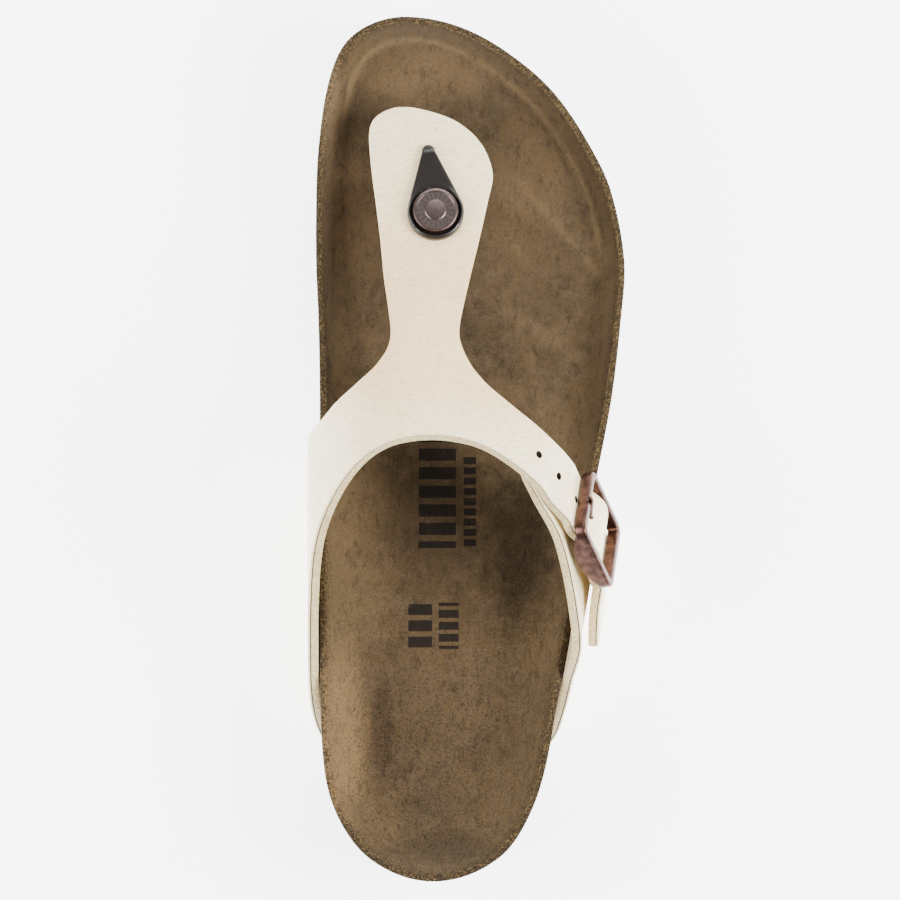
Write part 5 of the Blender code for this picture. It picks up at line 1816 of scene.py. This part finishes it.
# Turned profile
profile = (
    # height above the strap's outside face, radius
    (back - WASHER_THICKNESS, WASHER_DIAMETER / 2 - 0.2 * MM),
    (back - 0.8 * WASHER_THICKNESS, WASHER_DIAMETER / 2),
    (back, WASHER_DIAMETER / 2),
    (back, RIVET_DIAMETER / 2),
    (seat_height, RIVET_DIAMETER / 2),
    (seat_height, half_cap),
    (cap_top - CAP_EDGE_ROUND, half_cap),
    (cap_top - 0.3 * CAP_EDGE_ROUND, half_cap - 0.3 * CAP_EDGE_ROUND),
    (cap_top, half_cap - CAP_EDGE_ROUND),
    (cap_top, half_cap - 0.9 * MM),
    (cap_top - RECESS_DEPTH, half_cap - 1.15 * MM),
    (cap_top - RECESS_DEPTH, 3.25 * MM),
    (cap_top - 0.05 * MM, 3.05 * MM),
    (cap_top, 2.8 * MM),
)
surface, normal = tab_point(TAB_REACH, 0)
sideways = normal.cross(Vector((0, 1, 0))).normalized()
other = normal.cross(sideways)


def on_cap(height, radius, angle):
    return surface + normal * height + (sideways * math.cos(angle) + other * math.sin(angle)) * radius


levels = [
    [on_cap(height, radius, 2 * math.pi * k / RIVET_STEPS) for k in range(RIVET_STEPS)]
    for height, radius in profile
]
rivet = disc_body("rivet_cap", levels)
ticks = []
for number in range(TICKS):
    middle = 2 * math.pi * number / TICKS
    half = TICK_HALF_ANGLE
    low_ring, high_ring = cap_top - 0.3 * MM, cap_top - 0.14 * MM
    corners = [(TICK_INNER, -half), (TICK_OUTER, -half * 0.75)]
    corners += [(TICK_OUTER, half * 0.75), (TICK_INNER, half)]
    rings_of_tick = [
        [on_cap(height, radius, middle + angle) for radius, angle in corners]
        for height in (low_ring, high_ring)
    ]
    ticks.append(disc_body("tick_tool", rings_of_tick))
tick_tool = joined("tick_tool", ticks)
for face in tick_tool.data.polygons:
    face.material_index = 1
settle(combine(rivet, tick_tool, "UNION"), tick_tool)

# Brushed brass darkened to grey bronze, bright on its turned edge
bronze, tree, shader, place = new_finish("darkened_brass", Metallic=1.0, Roughness=0.36)
mark = add(tree, "TexNoise", {"Vector": place, "Scale": 1 / (1.2 * MM), "Detail": 4.0})
tone = add(
    tree, "Mix", {0: (mark, "Fac"), 6: linear("#4d4240"), 7: linear("#6e5f5b")}, data_type="RGBA"
)
tree.links.new(tone.outputs[2], shader.inputs["Base Color"])
patina = new_finish("darkened_recess", Base_Color=linear("#1a1513"), Roughness=0.7)[0]
wear(rivet, "post_rivet", bronze, patina)

# Floor, lights and camera
# A plain pale floor, a key light on the outer side, a fill light on the inner side, a light
# beyond the toes, and a camera that looks straight down.

floor_mesh = bpy.data.meshes.new("floor")
half = 1.5  # metres
corners = [(-half, -half, 0), (half, -half, 0), (half, half, 0), (-half, half, 0)]
floor_mesh.from_pydata(corners, [], [(0, 1, 2, 3)])
floor = bpy.data.objects.new("floor", floor_mesh)
bpy.context.scene.collection.objects.link(floor)
paper = new_finish(
    "white_paper",
    Base_Color=linear("#f4f4f4"),
    Roughness=0.9,
    Emission_Color=linear("#ffffff"),
    Emission_Strength=4.2,
)[0]
floor_mesh.materials.append(paper)
floor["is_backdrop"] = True

world = bpy.data.worlds.new("studio")
bpy.context.scene.world = world
world.use_nodes = True
world.node_tree.nodes["Background"].inputs["Color"].default_value = linear("#ffffff")
world.node_tree.nodes["Background"].inputs["Strength"].default_value = 0.3


def soft_light(name, place, target, size, power):
    """Square soft box that faces a point."""
    light = bpy.data.lights.new(name, "AREA")
    light.size = size
    light.energy = power
    box = bpy.data.objects.new(name, light)
    box.location = place
    box.rotation_euler = (Vector(target) - Vector(place)).to_track_quat("-Z", "Y").to_euler()
    bpy.context.scene.collection.objects.link(box)


middle = (0.008, 0.1, 0.03)
soft_light("key_light", (0.9, 0.05, 0.9), middle, 0.7, 44)
soft_light("fill_light", (-0.9, 0.0, 0.7), middle, 0.8, 26)
soft_light("toe_light", (0.1, 1.35, 0.75), middle, 0.9, 18)

# The photograph's frame is 270 mm high at the rim, and the camera is far off
FRAME_HEIGHT = 0.270
CAMERA_DISTANCE = 2.2
SENSOR = 36
camera_data = bpy.data.cameras.new("camera")
camera_data.sensor_width = SENSOR
camera_data.lens = SENSOR * CAMERA_DISTANCE / FRAME_HEIGHT
camera = bpy.data.objects.new("camera", camera_data)
camera.location = (0.005, 0.0996, HEEL_RIM + CAMERA_DISTANCE)
bpy.context.scene.collection.objects.link(camera)
bpy.context.scene.camera = camera

low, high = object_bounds()
